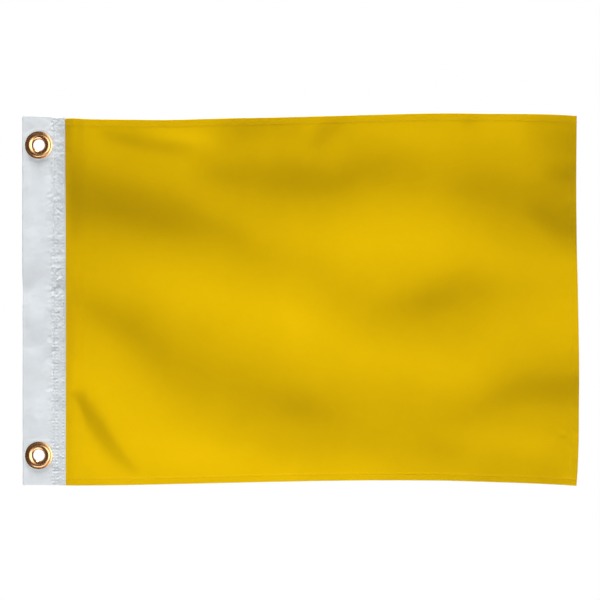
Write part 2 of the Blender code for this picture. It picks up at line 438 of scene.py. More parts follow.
def turned_piece(name: str, outline: Sequence[Point2], centre: Point2, sides: int,
                 material: bpy.types.Material) -> bpy.types.Object:
    """Turn a closed outline of (radius, y) points about a line along Y.

    Args:
        name: The piece's name.
        outline: The outline's points, in order.
        centre: The X and Z of the line.
        sides: How many flats a full turn has.
        material: The piece's finish.

    Returns:
        The new object, with (turn, way round the outline) as its UV places.
    """
    profile = np.array(outline)
    steps = np.linalg.norm(np.roll(profile, -1, 0) - profile, axis=1)
    way = np.concatenate([[0.0], np.cumsum(steps)[:-1]])
    angles = np.linspace(0, math.tau, sides, endpoint=False)
    radius, y = profile[:, 0], profile[:, 1]
    points = np.stack([centre[0] + np.outer(np.cos(angles), radius), np.tile(y, (sides, 1)),
                       centre[1] + np.outer(np.sin(angles), radius)], -1)
    chart = np.stack([np.outer(angles, np.full(len(way), 0.01)), np.tile(way, (sides, 1))], -1)
    number = np.arange(sides * len(way)).reshape(sides, len(way))
    far, up = np.roll(number, -1, 0), np.roll(number, -1, 1)
    both = np.roll(far, -1, 1)
    faces = np.stack([number.ravel(), far.ravel(), both.ravel(), up.ravel()], 1)
    return add_piece(name, points.reshape(-1, 3), faces, material, chart.reshape(-1, 2))


def pressed_outline(middle: Sequence[Point2], wall: float) -> list[Point2]:
    """Give a bent middle line one wall's thickness, with rounded ends.

    Args:
        middle: The middle line's points.
        wall: The wall's thickness.

    Returns:
        The closed outline.
    """
    line = np.array(middle)
    along = np.gradient(line, axis=0)
    along /= np.linalg.norm(along, axis=1, keepdims=True)
    across = np.stack([-along[:, 1], along[:, 0]], 1) * wall / 2
    tips = (line[0] - along[0] * wall * 0.35, line[-1] + along[-1] * wall * 0.35)
    return [tuple(p) for p in (*(line + across), tips[1], *(line - across)[::-1], tips[0])]


# ---------------------------------------------------------------------------------------------
# Shader building
# ---------------------------------------------------------------------------------------------

class ShaderGraph:
    """A small helper that places and joins the nodes of one material or group."""

    def __init__(self, tree: bpy.types.NodeTree) -> None:
        """Work on one node tree.

        Args:
            tree: The material's or the group's tree.
        """
        self.tree = tree

    def add(self, kind: str, inputs: dict[Any, Any] | None = None, **settings: Any) -> bpy.types.Node:
        """Place one node.

        Args:
            kind: The node's type name.
            inputs: Each input's value, or the socket that feeds it, by name or number.
            **settings: The node's own settings.

        Returns:
            The new node.
        """
        node = self.tree.nodes.new(kind)
        for key, value in settings.items():
            setattr(node, key, value)
        for key, value in (inputs or {}).items():
            self.feed(node.inputs[key], value)
        return node

    def feed(self, socket: bpy.types.NodeSocket, value: Any) -> None:
        """Give a socket a value or a link.

        Args:
            socket: The input.
            value: A number, a vector, a colour or an output socket.
        """
        if isinstance(value, bpy.types.NodeSocket):
            self.tree.links.new(value, socket)
        else:
            socket.default_value = value

    def calc(self, kind: str, first: Any, second: Any = 0.0, third: Any = 0.0) -> bpy.types.NodeSocket:
        """Place one Math node.

        Args:
            kind: The operation.
            first: Its first value or socket.
            second: Its second value or socket.
            third: Its third value or socket, which only some operations use.

        Returns:
            The result's socket.
        """
        inputs = {0: first, 1: second, 2: third}
        return self.add("ShaderNodeMath", inputs, operation=kind).outputs[0]

    def blend(self, factor: Any, first: Any, second: Any) -> bpy.types.NodeSocket:
        """Mix two colours.

        Args:
            factor: How much of the second there is.
            first: The first colour or socket.
            second: The second colour or socket.

        Returns:
            The mixed colour's socket.
        """
        node = self.add("ShaderNodeMix", {0: factor, 6: first, 7: second}, data_type="RGBA")
        return node.outputs[2]


def new_group(name: str, inputs: Sequence[tuple[str, str, Any]],
              outputs: Sequence[tuple[str, str]]) -> tuple[ShaderGraph, bpy.types.Node, bpy.types.Node]:
    """Start a shader node group.

    Args:
        name: The group's name.
        inputs: Each input's name, socket type and default.
        outputs: Each output's name and socket type.

    Returns:
        The graph, its input node and its output node.
    """
    tree = bpy.data.node_groups.new(name, "ShaderNodeTree")
    for label, kind, default in inputs:
        socket = tree.interface.new_socket(name=label, in_out="INPUT", socket_type=kind)
        if default is not None:
            socket.default_value = default
    for label, kind in outputs:
        tree.interface.new_socket(name=label, in_out="OUTPUT", socket_type=kind)
    graph = ShaderGraph(tree)
    return graph, graph.add("NodeGroupInput"), graph.add("NodeGroupOutput")


def weave_group() -> bpy.types.NodeTree:
    """Build the plain weave that every cloth shares, once.

    Returns:
        The group: a cloth place in, the threads' height and a slow unevenness out.
    """
    if "plain_weave" in bpy.data.node_groups:
        return bpy.data.node_groups["plain_weave"]
    graph, given, out = new_group(
        "plain_weave",
        [("Place", "NodeSocketVector", None), ("Thread Pitch", "NodeSocketFloat", 0.4 * MM),
         ("Slub Length", "NodeSocketFloat", 6 * MM)],
        [("Height", "NodeSocketFloat"), ("Unevenness", "NodeSocketFloat")])
    parts = graph.add("ShaderNodeSeparateXYZ", {0: given.outputs["Place"]})
    turn = graph.calc("DIVIDE", math.tau, given.outputs["Thread Pitch"])
    warp = graph.calc("SINE", graph.calc("MULTIPLY", parts.outputs[0], turn))
    weft = graph.calc("SINE", graph.calc("MULTIPLY", parts.outputs[1], turn))
    crossing = graph.calc("MULTIPLY_ADD", graph.calc("MULTIPLY", warp, weft), 0.5, 0.5)
    scale = graph.calc("DIVIDE", 1.0, given.outputs["Slub Length"])
    noise = graph.add("ShaderNodeTexNoise", {"Vector": given.outputs["Place"], "Scale": scale,
                                             "Detail": 3.0, "Roughness": 0.6})
    graph.feed(out.inputs["Height"], crossing)
    graph.feed(out.inputs["Unevenness"], noise.outputs["Fac"])
    return graph.tree


def handling_group() -> bpy.types.NodeTree:
    """Build the soft marks of handling that every finish shares, once.

    Returns:
        The group: a place in, a broad and a fine mask out, each between 0 and 1.
    """
    if "handling" in bpy.data.node_groups:
        return bpy.data.node_groups["handling"]
    graph, given, out = new_group(
        "handling",
        [("Place", "NodeSocketVector", None), ("Patch Size", "NodeSocketFloat", 40 * MM),
         ("Speck Size", "NodeSocketFloat", 2 * MM)],
        [("Patches", "NodeSocketFloat"), ("Specks", "NodeSocketFloat")])
    for size, mark, detail, low, high in (("Patch Size", "Patches", 2.0, 0.3, 0.7),
                                          ("Speck Size", "Specks", 4.0, 0.35, 0.75)):
        scale = graph.calc("DIVIDE", 1.0, given.outputs[size])
        noise = graph.add("ShaderNodeTexNoise", {"Vector": given.outputs["Place"], "Scale": scale,
                                                 "Detail": detail})
        mask = graph.add("ShaderNodeMapRange", {0: noise.outputs["Fac"], 1: low, 2: high})
        graph.feed(out.inputs[mark], mask.outputs[0])
    return graph.tree


@dataclass(frozen=True)
class Finish:
    """What every finish has.

    Attributes:
        name: The finish's name.
        slot: The record's material slot that it belongs to; not used.
    """

    name: str
    slot: str

    def material(self) -> bpy.types.Material:
        """Build the material, or find it if it is built.

        Returns:
            The finish's material.
        """
        if self.name in bpy.data.materials:
            return bpy.data.materials[self.name]
        material = bpy.data.materials.new(self.name)
        material.use_nodes = True
        self.dress(ShaderGraph(material.node_tree), material.node_tree.nodes["Principled BSDF"])
        return material

    def dress(self, graph: ShaderGraph, shader: bpy.types.Node) -> None:
        """Join the finish's nodes to its shader.

        Args:
            graph: The material's nodes.
            shader: The material's shader.
        """
        raise NotImplementedError


@dataclass(frozen=True)
class ClothFinish(Finish):
    """A woven cloth: its colours, its weave, its wear and its painted shade.

    Attributes:
        colour: The cloth's colour.
        shade: The colour of its worn patches, and the painted shade between its threads and along a sewn
            edge.
        pitch: The spacing of its threads.
        depth: How deep the weave's bump is.
        roughness: How dull it is, from 0 to 1.
        specular: How much light its surface reflects.
        seam_shade_reach: How far from its first edge a painted shade darkens it, standing in for the
            seam's shade.
        mottled: How strongly its patches differ.
        seam_shade: How strong that painted shade is at that edge.
        threaded: How strongly the painted shade in the gaps between its threads shows.
        slubbed: How strongly its threads' own unevenness shows.
    """

    colour: Colour
    shade: Colour
    pitch: float
    depth: float
    roughness: float
    specular: float
    seam_shade_reach: float = 0.0
    mottled: float = 0.18
    seam_shade: float = 0.34
    threaded: float = 0.25
    slubbed: float = 0.20

    def dress(self, graph: ShaderGraph, shader: bpy.types.Node) -> None:
        """Join the weave, the wear and the painted shade to the shader.

        Args:
            graph: The material's nodes.
            shader: The material's shader.
        """
        place = graph.add("ShaderNodeUVMap", uv_map="cloth").outputs[0]
        weave = graph.add("ShaderNodeGroup", {"Place": place, "Thread Pitch": self.pitch},
                          node_tree=weave_group())
        marks = graph.add("ShaderNodeGroup", {"Place": place}, node_tree=handling_group())
        # Painted shade: darker in the gaps between the threads.
        gaps = graph.calc("SUBTRACT", 1.0, weave.outputs["Height"])
        threads = graph.calc("MULTIPLY", gaps, self.threaded)
        worn = graph.calc("MULTIPLY", marks.outputs["Patches"], self.mottled)
        uneven = graph.calc("MULTIPLY", weave.outputs["Unevenness"], self.slubbed)
        amount = graph.calc("ADD", graph.calc("ADD", threads, worn), uneven)
        # Painted shade: darker towards the sewn inner edge, where the seam's puckers and slopes shade the
        # tape.
        if self.seam_shade_reach > 0:
            across = graph.add("ShaderNodeSeparateXYZ", {0: place}).outputs[0]
            edge = graph.add("ShaderNodeMapRange", {0: across, 1: self.seam_shade_reach * 0.7,
                                                    2: self.seam_shade_reach * 1.1, 3: self.seam_shade, 4: 0.0})
            amount = graph.calc("ADD", amount, edge.outputs[0])
        graph.feed(shader.inputs["Base Color"],
                   graph.blend(amount, (*self.colour, 1.0), (*self.shade, 1.0)))
        rough = graph.calc("MULTIPLY_ADD", marks.outputs["Patches"], 0.12, self.roughness)
        graph.feed(shader.inputs["Roughness"], rough)
        bump = graph.add("ShaderNodeBump", {"Strength": 0.6, "Distance": self.depth,
                                            "Height": weave.outputs["Height"]})
        graph.feed(shader.inputs["Normal"], bump.outputs[0])
        shader.inputs["Specular IOR Level"].default_value = self.specular


@dataclass(frozen=True)
class BrassFinish(Finish):
    """Polished brass that has dulled where a cloth can't reach.

    Attributes:
        polished: The colour of the rubbed metal.
        tarnished: The colour in its nooks.
        roughness: How dull the rubbed metal is.
        patch: The size of its cloudy patches.
        speck: The size of its fine specks.
    """

    name: str = "polished_brass_finish"
    slot: str = "polished_brass"
    polished: Colour = (0.95, 0.65, 0.32)
    tarnished: Colour = (0.36, 0.11, 0.045)
    roughness: float = 0.16
    patch: float = 6 * MM
    speck: float = 0.5 * MM

    def dress(self, graph: ShaderGraph, shader: bpy.types.Node) -> None:
        """Join the tarnish and the fine specks to the shader.

        Args:
            graph: The material's nodes.
            shader: The material's shader.
        """
        place = graph.add("ShaderNodeTexCoord").outputs["Object"]
        sizes = {"Place": place, "Patch Size": self.patch, "Speck Size": self.speck}
        marks = graph.add("ShaderNodeGroup", sizes, node_tree=handling_group())
        nook = graph.add("ShaderNodeAttribute", attribute_name="nook").outputs["Fac"]
        dull = graph.calc("ADD", graph.calc("MULTIPLY", nook, 0.75),
                         graph.calc("MULTIPLY", marks.outputs["Patches"], 0.14))
        graph.feed(shader.inputs["Base Color"],
                   graph.blend(dull, (*self.polished, 1.0), (*self.tarnished, 1.0)))
        clouded = graph.calc("ADD", dull, marks.outputs["Specks"])
        rough = graph.calc("MULTIPLY_ADD", clouded, 0.14, self.roughness)
        graph.feed(shader.inputs["Roughness"], rough)
        bump = graph.add("ShaderNodeBump", {"Strength": 0.25, "Distance": 0.02 * MM,
                                            "Height": marks.outputs["Specks"]})
        graph.feed(shader.inputs["Normal"], bump.outputs[0])
        shader.inputs["Metallic"].default_value = 1.0


@dataclass(frozen=True)
class ThreadFinish(Finish):
    """Twisted sewing thread.

    Attributes:
        colour: The thread's colour.
        shade: The painted shade between its strands.
        twist: The length of one turn of its strands.
        roughness: How dull its smoothest parts are.
    """

    colour: Colour
    shade: Colour
    twist: float = 0.5 * MM
    roughness: float = 0.55

    def dress(self, graph: ShaderGraph, shader: bpy.types.Node) -> None:
        """Join the twisted strands to the shader.

        Args:
            Join the twisted strands, with painted shade between them, to the shader.
            shader: The material's shader.
        """
        place = graph.add("ShaderNodeTexCoord").outputs["Object"]
        parts = graph.add("ShaderNodeSeparateXYZ", {0: place})
        slant = graph.calc("ADD", graph.calc("ADD", parts.outputs[0], parts.outputs[2]), parts.outputs[1])
        strands = graph.calc("SINE", graph.calc("MULTIPLY", slant, math.tau / self.twist))
        height = graph.calc("MULTIPLY_ADD", strands, 0.5, 0.5)
        marks = graph.add("ShaderNodeGroup", {"Place": place}, node_tree=handling_group())
        # Painted shade: darker between the thread's strands.
        between = graph.calc("MULTIPLY", graph.calc("SUBTRACT", 1.0, height), 0.6)
        graph.feed(shader.inputs["Base Color"],
                   graph.blend(between, (*self.colour, 1.0), (*self.shade, 1.0)))
        rough = graph.calc("MULTIPLY_ADD", marks.outputs["Specks"], 0.15, self.roughness)
        graph.feed(shader.inputs["Roughness"], rough)
        bump = graph.add("ShaderNodeBump", {"Strength": 0.5, "Distance": 0.05 * MM, "Height": height})
        graph.feed(shader.inputs["Normal"], bump.outputs[0])
        shader.inputs["Sheen Weight"].default_value = 0.2


NYLON = ClothFinish("yellow_nylon_finish", "yellow_nylon", colour=(0.815, 0.505, 0.001),
                    shade=(0.68, 0.42, 0.0005), pitch=0.36 * MM, depth=0.03 * MM, roughness=0.60,
                    specular=0.10)
# The tape carries a painted shade along its sewn inner edge.
TAPE = ClothFinish("white_heading_finish", "white_heading_tape", colour=(0.88, 0.92, 0.95),
                   shade=(0.69, 0.73, 0.76), pitch=0.5 * MM, depth=0.05 * MM, roughness=0.60,
                   specular=0.25, seam_shade_reach=12 * MM, mottled=0.30)
STIFFENING = ClothFinish("white_stiffening_finish", "white_stiffening", colour=(0.78, 0.78, 0.75),
                         shade=(0.62, 0.62, 0.60), pitch=0.8 * MM, depth=0.08 * MM, roughness=0.8,
                         specular=0.2)
WHITE_THREAD = ThreadFinish("white_thread_finish", "white_thread", (0.86, 0.88, 0.90), (0.52, 0.54, 0.56))
YELLOW_THREAD = ThreadFinish("yellow_thread_finish", "yellow_thread", (0.80, 0.50, 0.01), (0.5, 0.28, 0.0))
BRASS = BrassFinish()


# ---------------------------------------------------------------------------------------------
# The relief of a hanging cloth
# ---------------------------------------------------------------------------------------------

@dataclass(frozen=True)
class Fold:
    """A soft band of cloth that tips out, or back, at its top.

    Each knot is (along, above, half-width, lean): the distance along the fly from its bend and
    the height above the flag's centre line, in millimetres, then the band's half-width there in
    millimetres, then its slope there. Above 0 the top tips towards the front.

    Attributes:
        knots: The knots, in order along the fly.
    """

    knots: tuple[Knot, ...]

    def slope(self, along: np.ndarray, above: np.ndarray) -> np.ndarray:
        """How steeply this band tips the cloth.

        Args:
            along: Each column's distance along the fly.
            above: The stations' heights above the centre line.

        Returns:
            The slope, as columns of stations.
        """
        places, centres, widths, leans = np.array(self.knots, float).T
        places, centres, widths = places * MM, centres * MM, widths * MM
        centre = smooth_line(places, centres, along)
        ahead, behind = (smooth_line(places, centres, along + sign * MM / 2) for sign in (1, -1))
        width = smooth_line(places, widths, along) * np.sqrt(1.0 + ((ahead - behind) / MM) ** 2)
        lean = smooth_line(places, leans, along)
        across = (above[None, :] - centre[:, None]) / width[:, None]
        return lean[:, None] * np.exp(-across ** 2 / 2)


@dataclass(frozen=True)
class Relief:
    """The relief that a set of leaning bands gives to a cloth, summed from the bottom up.

    Attributes:
        bands: The bands.
        half_height: Half the cloth's height.
        depth: How strong the bands are, 1 for as named.
        step: The spacing of the sum's stations.
    """

    bands: tuple[Fold, ...]
    half_height: float
    depth: float = 1.0
    step: float = 1.0 * MM

    def columns(self, along: np.ndarray) -> tuple[np.ndarray, np.ndarray]:
        """Sum the slopes up each column of the cloth.

        Args:
            along: Each column's distance along the fly.

        Returns:
            The stations' heights above the centre line, and each column's relief at them,
            levelled so that a column's mean is 0.
        """
        count = round(2 * self.half_height / self.step)
        stations = np.linspace(-self.half_height, self.half_height, count + 1)
        slope = self.depth * sum(band.slope(along, stations) for band in self.bands)
        gap = stations[1] - stations[0]
        rise = np.cumsum((slope[:, 1:] + slope[:, :-1]) / 2 * gap, axis=1)
        relief = np.concatenate([np.zeros((len(along), 1)), rise], axis=1)
        return stations, relief - relief.mean(axis=1, keepdims=True)

    def grid(self, along: np.ndarray, above: np.ndarray) -> np.ndarray:
        """The relief on a grid.

        Args:
            along: The columns' distances along the fly.
            above: The rows' heights above the centre line.

        Returns:
            How far the cloth stands towards the front, as columns of rows.
        """
        stations, relief = self.columns(along)
        return np.stack([np.interp(above, stations, column) for column in relief])

    def at(self, along: np.ndarray, above: np.ndarray) -> np.ndarray:
        """The relief on a grid, if given a column and a row, or else at a list of places.

        Args:
            along: The distances along the cloth: a column of them for a grid.
            above: The heights above the centre line: a row of them for a grid.

        Returns:
            The relief at each place.
        """
        if np.ndim(along) == 2:
            return self.grid(along.ravel(), above.ravel())
        return self.places(along, above)

    def places(self, along: np.ndarray, above: np.ndarray) -> np.ndarray:
        """The relief at a list of places.

        Args:
            along: The places' distances along the fly.
            above: Their heights above the centre line.

        Returns:
            How far the cloth stands towards the front at each.
        """
        stations, relief = self.columns(along)
        return np.array([np.interp(z, stations, column) for z, column in zip(above, relief)])


# ---------------------------------------------------------------------------------------------
# Rows of stitches
# ---------------------------------------------------------------------------------------------

@dataclass(frozen=True)
class Sewing:
    """A machine's settings for one row of stitches.

    Attributes:
        pitch: The distance between two needle holes.
        reach: The length of thread that shows between them.
        radius: The thread's radius.
        lift: How far a stitch's middle stands off the cloth.
        dip: How deep its ends go in.
        seed: The seed of its small unevenness.
    """

    pitch: float = 2.9 * MM
    reach: float = 2.55 * MM
    radius: float = 0.15 * MM
    lift: float = 0.24 * MM
    dip: float = 0.16 * MM
    seed: int = 3

    def tree(self) -> bpy.types.NodeTree:
        """Build the Geometry Nodes tree that lays stitches along a path, once.

        Returns:
            The tree, with named inputs for the machine's settings.
        """
        if "row_of_stitches" in bpy.data.node_groups:
            return bpy.data.node_groups["row_of_stitches"]
        tree = bpy.data.node_groups.new("row_of_stitches", "GeometryNodeTree")
        tree.is_modifier = True
        for label, kind in (("Path", "NodeSocketGeometry"), ("Pitch", "NodeSocketFloat"),
                            ("Reach", "NodeSocketFloat"), ("Thread Radius", "NodeSocketFloat"),
                            ("Lift", "NodeSocketFloat"), ("Dip", "NodeSocketFloat"),
                            ("Seed", "NodeSocketInt"), ("Thread", "NodeSocketMaterial")):
            tree.interface.new_socket(name=label, in_out="INPUT", socket_type=kind)
        tree.interface.new_socket(name="Stitches", in_out="OUTPUT", socket_type="NodeSocketGeometry")
        graph = ShaderGraph(tree)
        given, out = graph.add("NodeGroupInput"), graph.add("NodeGroupOutput")
        size = given.outputs
        half = graph.calc("MULTIPLY", size["Reach"], 0.5)
        under = graph.calc("MULTIPLY", size["Dip"], -1.0)
        crown = graph.calc("MULTIPLY_ADD", size["Lift"], 2.0, size["Dip"])
        first = graph.add("ShaderNodeCombineXYZ", {0: graph.calc("MULTIPLY", half, -1.0), 2: under})
        top = graph.add("ShaderNodeCombineXYZ", {2: crown})
        last = graph.add("ShaderNodeCombineXYZ", {0: half, 2: under})
        bend = graph.add("GeometryNodeCurveQuadraticBezier",
                         {"Resolution": 6, "Start": first.outputs[0], "Middle": top.outputs[0],
                          "End": last.outputs[0]})
        ring = graph.add("GeometryNodeCurvePrimitiveCircle",
                         {"Resolution": 6, "Radius": size["Thread Radius"]})
        stitch = graph.add("GeometryNodeCurveToMesh",
                           {"Curve": bend.outputs[0], "Profile Curve": ring.outputs[0],
                            "Fill Caps": True})
        curve = graph.add("GeometryNodeMeshToCurve", {"Mesh": size["Path"]})
        row = graph.add("GeometryNodeResampleCurve", mode="LENGTH")
        graph.feed(row.inputs["Curve"], curve.outputs[0])
        graph.feed(row.inputs["Length"], size["Pitch"])
        outward = graph.add("GeometryNodeInputNamedAttribute", {"Name": "outward"},
                            data_type="FLOAT_VECTOR")
        ahead = graph.add("FunctionNodeAlignRotationToVector",
                          {"Vector": graph.add("GeometryNodeInputTangent").outputs[0]}, axis="X")
        upright = graph.add("FunctionNodeAlignRotationToVector",
                            {"Rotation": ahead.outputs[0], "Vector": outward.outputs[0]},
                            axis="Z", pivot_axis="X")
        uneven = graph.add("FunctionNodeRandomValue", {2: -0.09, 3: 0.09, "Seed": size["Seed"]})
        yaw = graph.add("ShaderNodeCombineXYZ", {2: uneven.outputs[1]})
        turn = graph.add("FunctionNodeEulerToRotation", {0: yaw.outputs[0]})
        turned = graph.add("FunctionNodeRotateRotation",
                           {0: upright.outputs[0], 1: turn.outputs[0]}, rotation_space="LOCAL")
        laid = graph.add("GeometryNodeInstanceOnPoints",
                         {"Points": row.outputs[0], "Instance": stitch.outputs[0],
                          "Rotation": turned.outputs[0]})
        real = graph.add("GeometryNodeRealizeInstances", {"Geometry": laid.outputs[0]})
        smooth = graph.add("GeometryNodeSetShadeSmooth", {"Geometry": real.outputs[0]})
        dressed = graph.add("GeometryNodeSetMaterial",
                            {"Geometry": smooth.outputs[0], "Material": size["Thread"]})
        graph.feed(out.inputs[0], dressed.outputs[0])
        return tree

    def sew(self, name: str, points: np.ndarray, outward: np.ndarray,
            finish: ThreadFinish) -> bpy.types.Object:
        """Lay one row of stitches along a path and make it a plain mesh.

        Args:
            name: The piece's name.
            points: The path's points on the cloth.
            outward: Which way is off the cloth at each.
            finish: The thread's finish.

        Returns:
            The stitches, as one object.
        """
        path = bpy.data.meshes.new(f"{name}_path")
        path.from_pydata(points.tolist(), [(k, k + 1) for k in range(len(points) - 1)], [])
        off = path.attributes.new("outward", "FLOAT_VECTOR", "POINT")
        off.data.foreach_set("vector", outward.astype(np.float32).ravel())
        guide = show(f"{name}_guide", path)
        machine = guide.modifiers.new("stitches", "NODES")
        machine.node_group = self.tree()
        values = {"Pitch": self.pitch, "Reach": self.reach, "Thread Radius": self.radius,
                  "Lift": self.lift, "Dip": self.dip, "Seed": self.seed, "Thread": finish.material()}
        for socket in machine.node_group.interface.items_tree:
            if socket.in_out == "INPUT" and socket.name in values:
                machine[socket.identifier] = values[socket.name]
        mesh = plain_mesh(guide)
        mesh.name = name
        bpy.data.objects.remove(guide)
        face_outwards(mesh, MERGE_DISTANCE)
        row = show(name, mesh)
        return row


# ---------------------------------------------------------------------------------------------
# The fly
# ---------------------------------------------------------------------------------------------

FLY_FOLDS = (
    # the long shadowed fold from the heading's upper part to the middle
    Fold(((-12, 92, 22, 0.16), (10, 88, 21, 0.17), (35, 83, 19, 0.165), (60, 77, 17, 0.16),
          (90, 71, 15, 0.13), (114, 62, 12, 0.095), (135, 55, 10, 0.065), (160, 40, 9, 0.02),
          (180, 32, 9, 0.0))),
    # the shades beside the heading
    Fold(((-12, 130, 18, 0.02), (5, 130, 18, 0.035), (20, 130, 16, 0.0))),
    Fold(((-12, 84, 22, 0.09), (0, 84, 22, 0.09), (6, 84, 22, 0.05), (14, 84, 20, 0.0))),
    Fold(((-12, 14, 20, 0.03), (2, 14, 20, 0.03), (8, 14, 20, 0.02), (16, 14, 20, 0.0))),
    # the shadowed fold under the top edge, all the way to the fly end
    Fold(((96, 108, 9, 0.0), (116, 107, 11, 0.06), (132, 106, 12, 0.09), (150, 103, 13, 0.10),
          (186, 100, 14, 0.115),
          (222, 99, 13, 0.10), (241, 105, 13, 0.09), (277, 105, 13, 0.065), (300, 101, 12, 0.05),
          (331, 94, 14, 0.09), (368, 86, 19, 0.10), (400, 86, 22, 0.10), (430, 88, 24, 0.095))),
    # its darker cores at the fly end
    Fold(((372, 74, 5, 0.0), (386, 70, 7, 0.06), (404, 62, 11, 0.09), (425, 57, 11, 0.10))),
    Fold(((375, 135, 12, 0.0), (390, 135, 14, 0.06), (404, 135, 16, 0.09), (425, 132, 16, 0.10))),
    Fold(((388, 104, 5, 0.0), (402, 104, 6, 0.055), (425, 104, 6, 0.055))),
    # small patches and creases along the top edge
    Fold(((120, 143, 7, 0.0), (134, 142, 8, 0.06), (168, 144, 7, 0.055), (190, 140, 6, 0.03),
          (200, 140, 6, 0.0))),
    Fold(((196, 131, 5, 0.0), (204, 133, 6, 0.055), (220, 142, 6, 0.06), (236, 146, 6, 0.0))),
    Fold(((24, 143, 4, 0.0), (40, 138, 4.5, 0.075), (70, 132, 4.5, 0.075), (92, 128, 4, 0.06),
          (106, 126, 4, 0.0))),
    Fold(((56, 146, 5, 0.0), (80, 141, 4.5, -0.05), (112, 136, 4, -0.055), (124, 133, 4, 0.0))),
    Fold(((236, 140, 8, 0.0), (262, 140, 9, -0.02), (330, 138, 10, -0.02), (365, 143, 8, -0.03),
          (382, 146, 8, 0.0))),
    Fold(((322, 146, 4, 0.0), (331, 146, 4, 0.04), (342, 146, 4, 0.0))),
    # the lit fold across the middle
    Fold(((20, 30, 10, 0.0), (59, 20, 14, -0.04), (77, 14, 16, -0.06), (95, 9, 17, -0.075),
          (114, 3, 18, -0.09), (132, -5, 19, -0.095), (168, -15, 20, -0.11), (186, -21, 22, -0.12),
          (204, -30, 22, -0.105), (222, -39, 20, -0.095), (241, -48, 17, -0.09), (277, -55, 16, -0.085),
          (313, -60, 16, -0.075), (331, -56, 16, -0.065), (350, -44, 16, -0.055), (368, -30, 17, -0.04),
          (386, -20, 18, -0.05), (404, -15, 20, -0.06), (425, -18, 22, -0.055))),
    # the lit oval above it
    Fold(((140, 62, 9, 0.0), (168, 57, 11, -0.02), (204, 50, 15, -0.05), (222, 46, 18, -0.075),
          (259, 43, 21, -0.095), (295, 43, 20, -0.085), (331, 41, 16, -0.06), (368, 30, 13, -0.035),
          (395, 28, 12, -0.03), (425, 28, 12, -0.03))),
    # the shadow under the oval
    Fold(((240, -6, 8, 0.0), (259, -9, 8, 0.03), (277, -7, 9, 0.055), (295, -4, 11, 0.085),
          (313, 1, 11, 0.085), (331, 5, 12, 0.055), (350, 8, 10, 0.03), (372, 12, 8, 0.0))),
    # the second shadowed fold, from the heading down to the middle of the bottom
    Fold(((-10, 6, 8, 0.03), (5, 3, 8, 0.045), (23, -6, 9, 0.075), (41, -17, 11, 0.09),
          (59, -27, 12, 0.09), (77, -41, 13, 0.07), (95, -55, 13, 0.05), (114, -64, 12, 0.05),
          (132, -67, 12, 0.045), (150, -79, 11, 0.055), (168, -85, 11, 0.07), (186, -88, 11, 0.085),
          (204, -92, 11, 0.07), (222, -98, 10, 0.04), (241, -106, 8, 0.015), (260, -112, 8, 0.0))),
    # the lit lower hoist corner and bottom edge
    Fold(((-10, -70, 16, -0.05), (5, -72, 20, -0.07), (23, -82, 25, -0.10), (41, -98, 28, -0.11),
          (59, -112, 28, -0.12), (77, -122, 26, -0.13), (95, -128, 23, -0.14), (114, -132, 20, -0.14),
          (132, -136, 17, -0.14), (150, -140, 15, -0.13), (168, -146, 14, -0.12),
          (186, -148, 13, -0.11), (204, -148, 12, -0.09), (241, -146, 11, -0.10), (260, -147, 10, -0.075),
          (290, -148, 10, -0.045), (330, -148, 10, -0.02), (345, -148, 10, 0.0))),
    Fold(((-10, -130, 20, -0.06), (10, -130, 20, -0.08), (30, -135, 18, -0.08), (50, -140, 15, -0.03),
          (70, -145, 12, 0.0))),
    # the crisp crease in the lower hoist corner
    Fold(((-3, -75, 1.5, 0.0), (4, -77, 2, 0.10), (10, -82, 3.4, 0.18), (16, -91, 5.0, 0.20),
          (23, -101, 6.2, 0.20), (33, -115, 6.2, 0.19), (42, -126, 4.6, 0.16), (52, -136, 3, 0.12),
          (62, -142, 2.5, 0.0))),
    # the lower shadow at the fly end, and a small one on its left
    Fold(((300, -98, 6, 0.0), (320, -96, 7, 0.02), (335, -92, 8, 0.04), (350, -84, 9, 0.065),
          (368, -76, 10, 0.085), (386, -73, 11, 0.10), (404, -73, 12, 0.115), (425, -70, 12, 0.115))),
    Fold(((296, -118, 7, 0.0), (331, -119, 9, -0.03), (368, -118, 10, -0.055), (390, -119, 10, -0.065),
          (406, -124, 10, -0.02), (425, -128, 10, 0.0))),
    Fold(((284, -126, 5, 0.0), (300, -126, 5, 0.025), (318, -127, 5, 0.035), (332, -128, 5, 0.0))),
)


@dataclass
class Drape:
    """How the fly's folds grow out of the heading's sewn side.

    Attributes:
        layout: Where the CAD pieces are.
        still: The X up to which the heading stays flat, past its grommets.
        full: The X past which the folds have their whole depth.
        growth: How late between the two they grow.
        depth: How strong the folds are, 1 for as named.
    """

    layout: Layout
    still: float = 12.6 * MM
    full: float = 32.0 * MM
    growth: float = 1.7
    depth: float = 1.18
    relief: Relief = field(init=False)

    def __post_init__(self) -> None:
        """Sum the folds' slopes into the fly's relief."""
        self.relief = Relief(FLY_FOLDS, self.layout.half_height, self.depth)

    def shift(self, along: np.ndarray, above: np.ndarray) -> np.ndarray:
        """How far the folds carry the cloth towards the front.

        Args:
            along: Distances along the fly from its bend: a column of them for a grid.
            above: Heights above the centre line: a row of them for a grid.

        Returns:
            The shift at each place.
        """
        x = along + self.layout.hinge
        swell = ease((x - self.still) / (self.full - self.still)) ** self.growth
        return self.relief.at(along, above) * swell


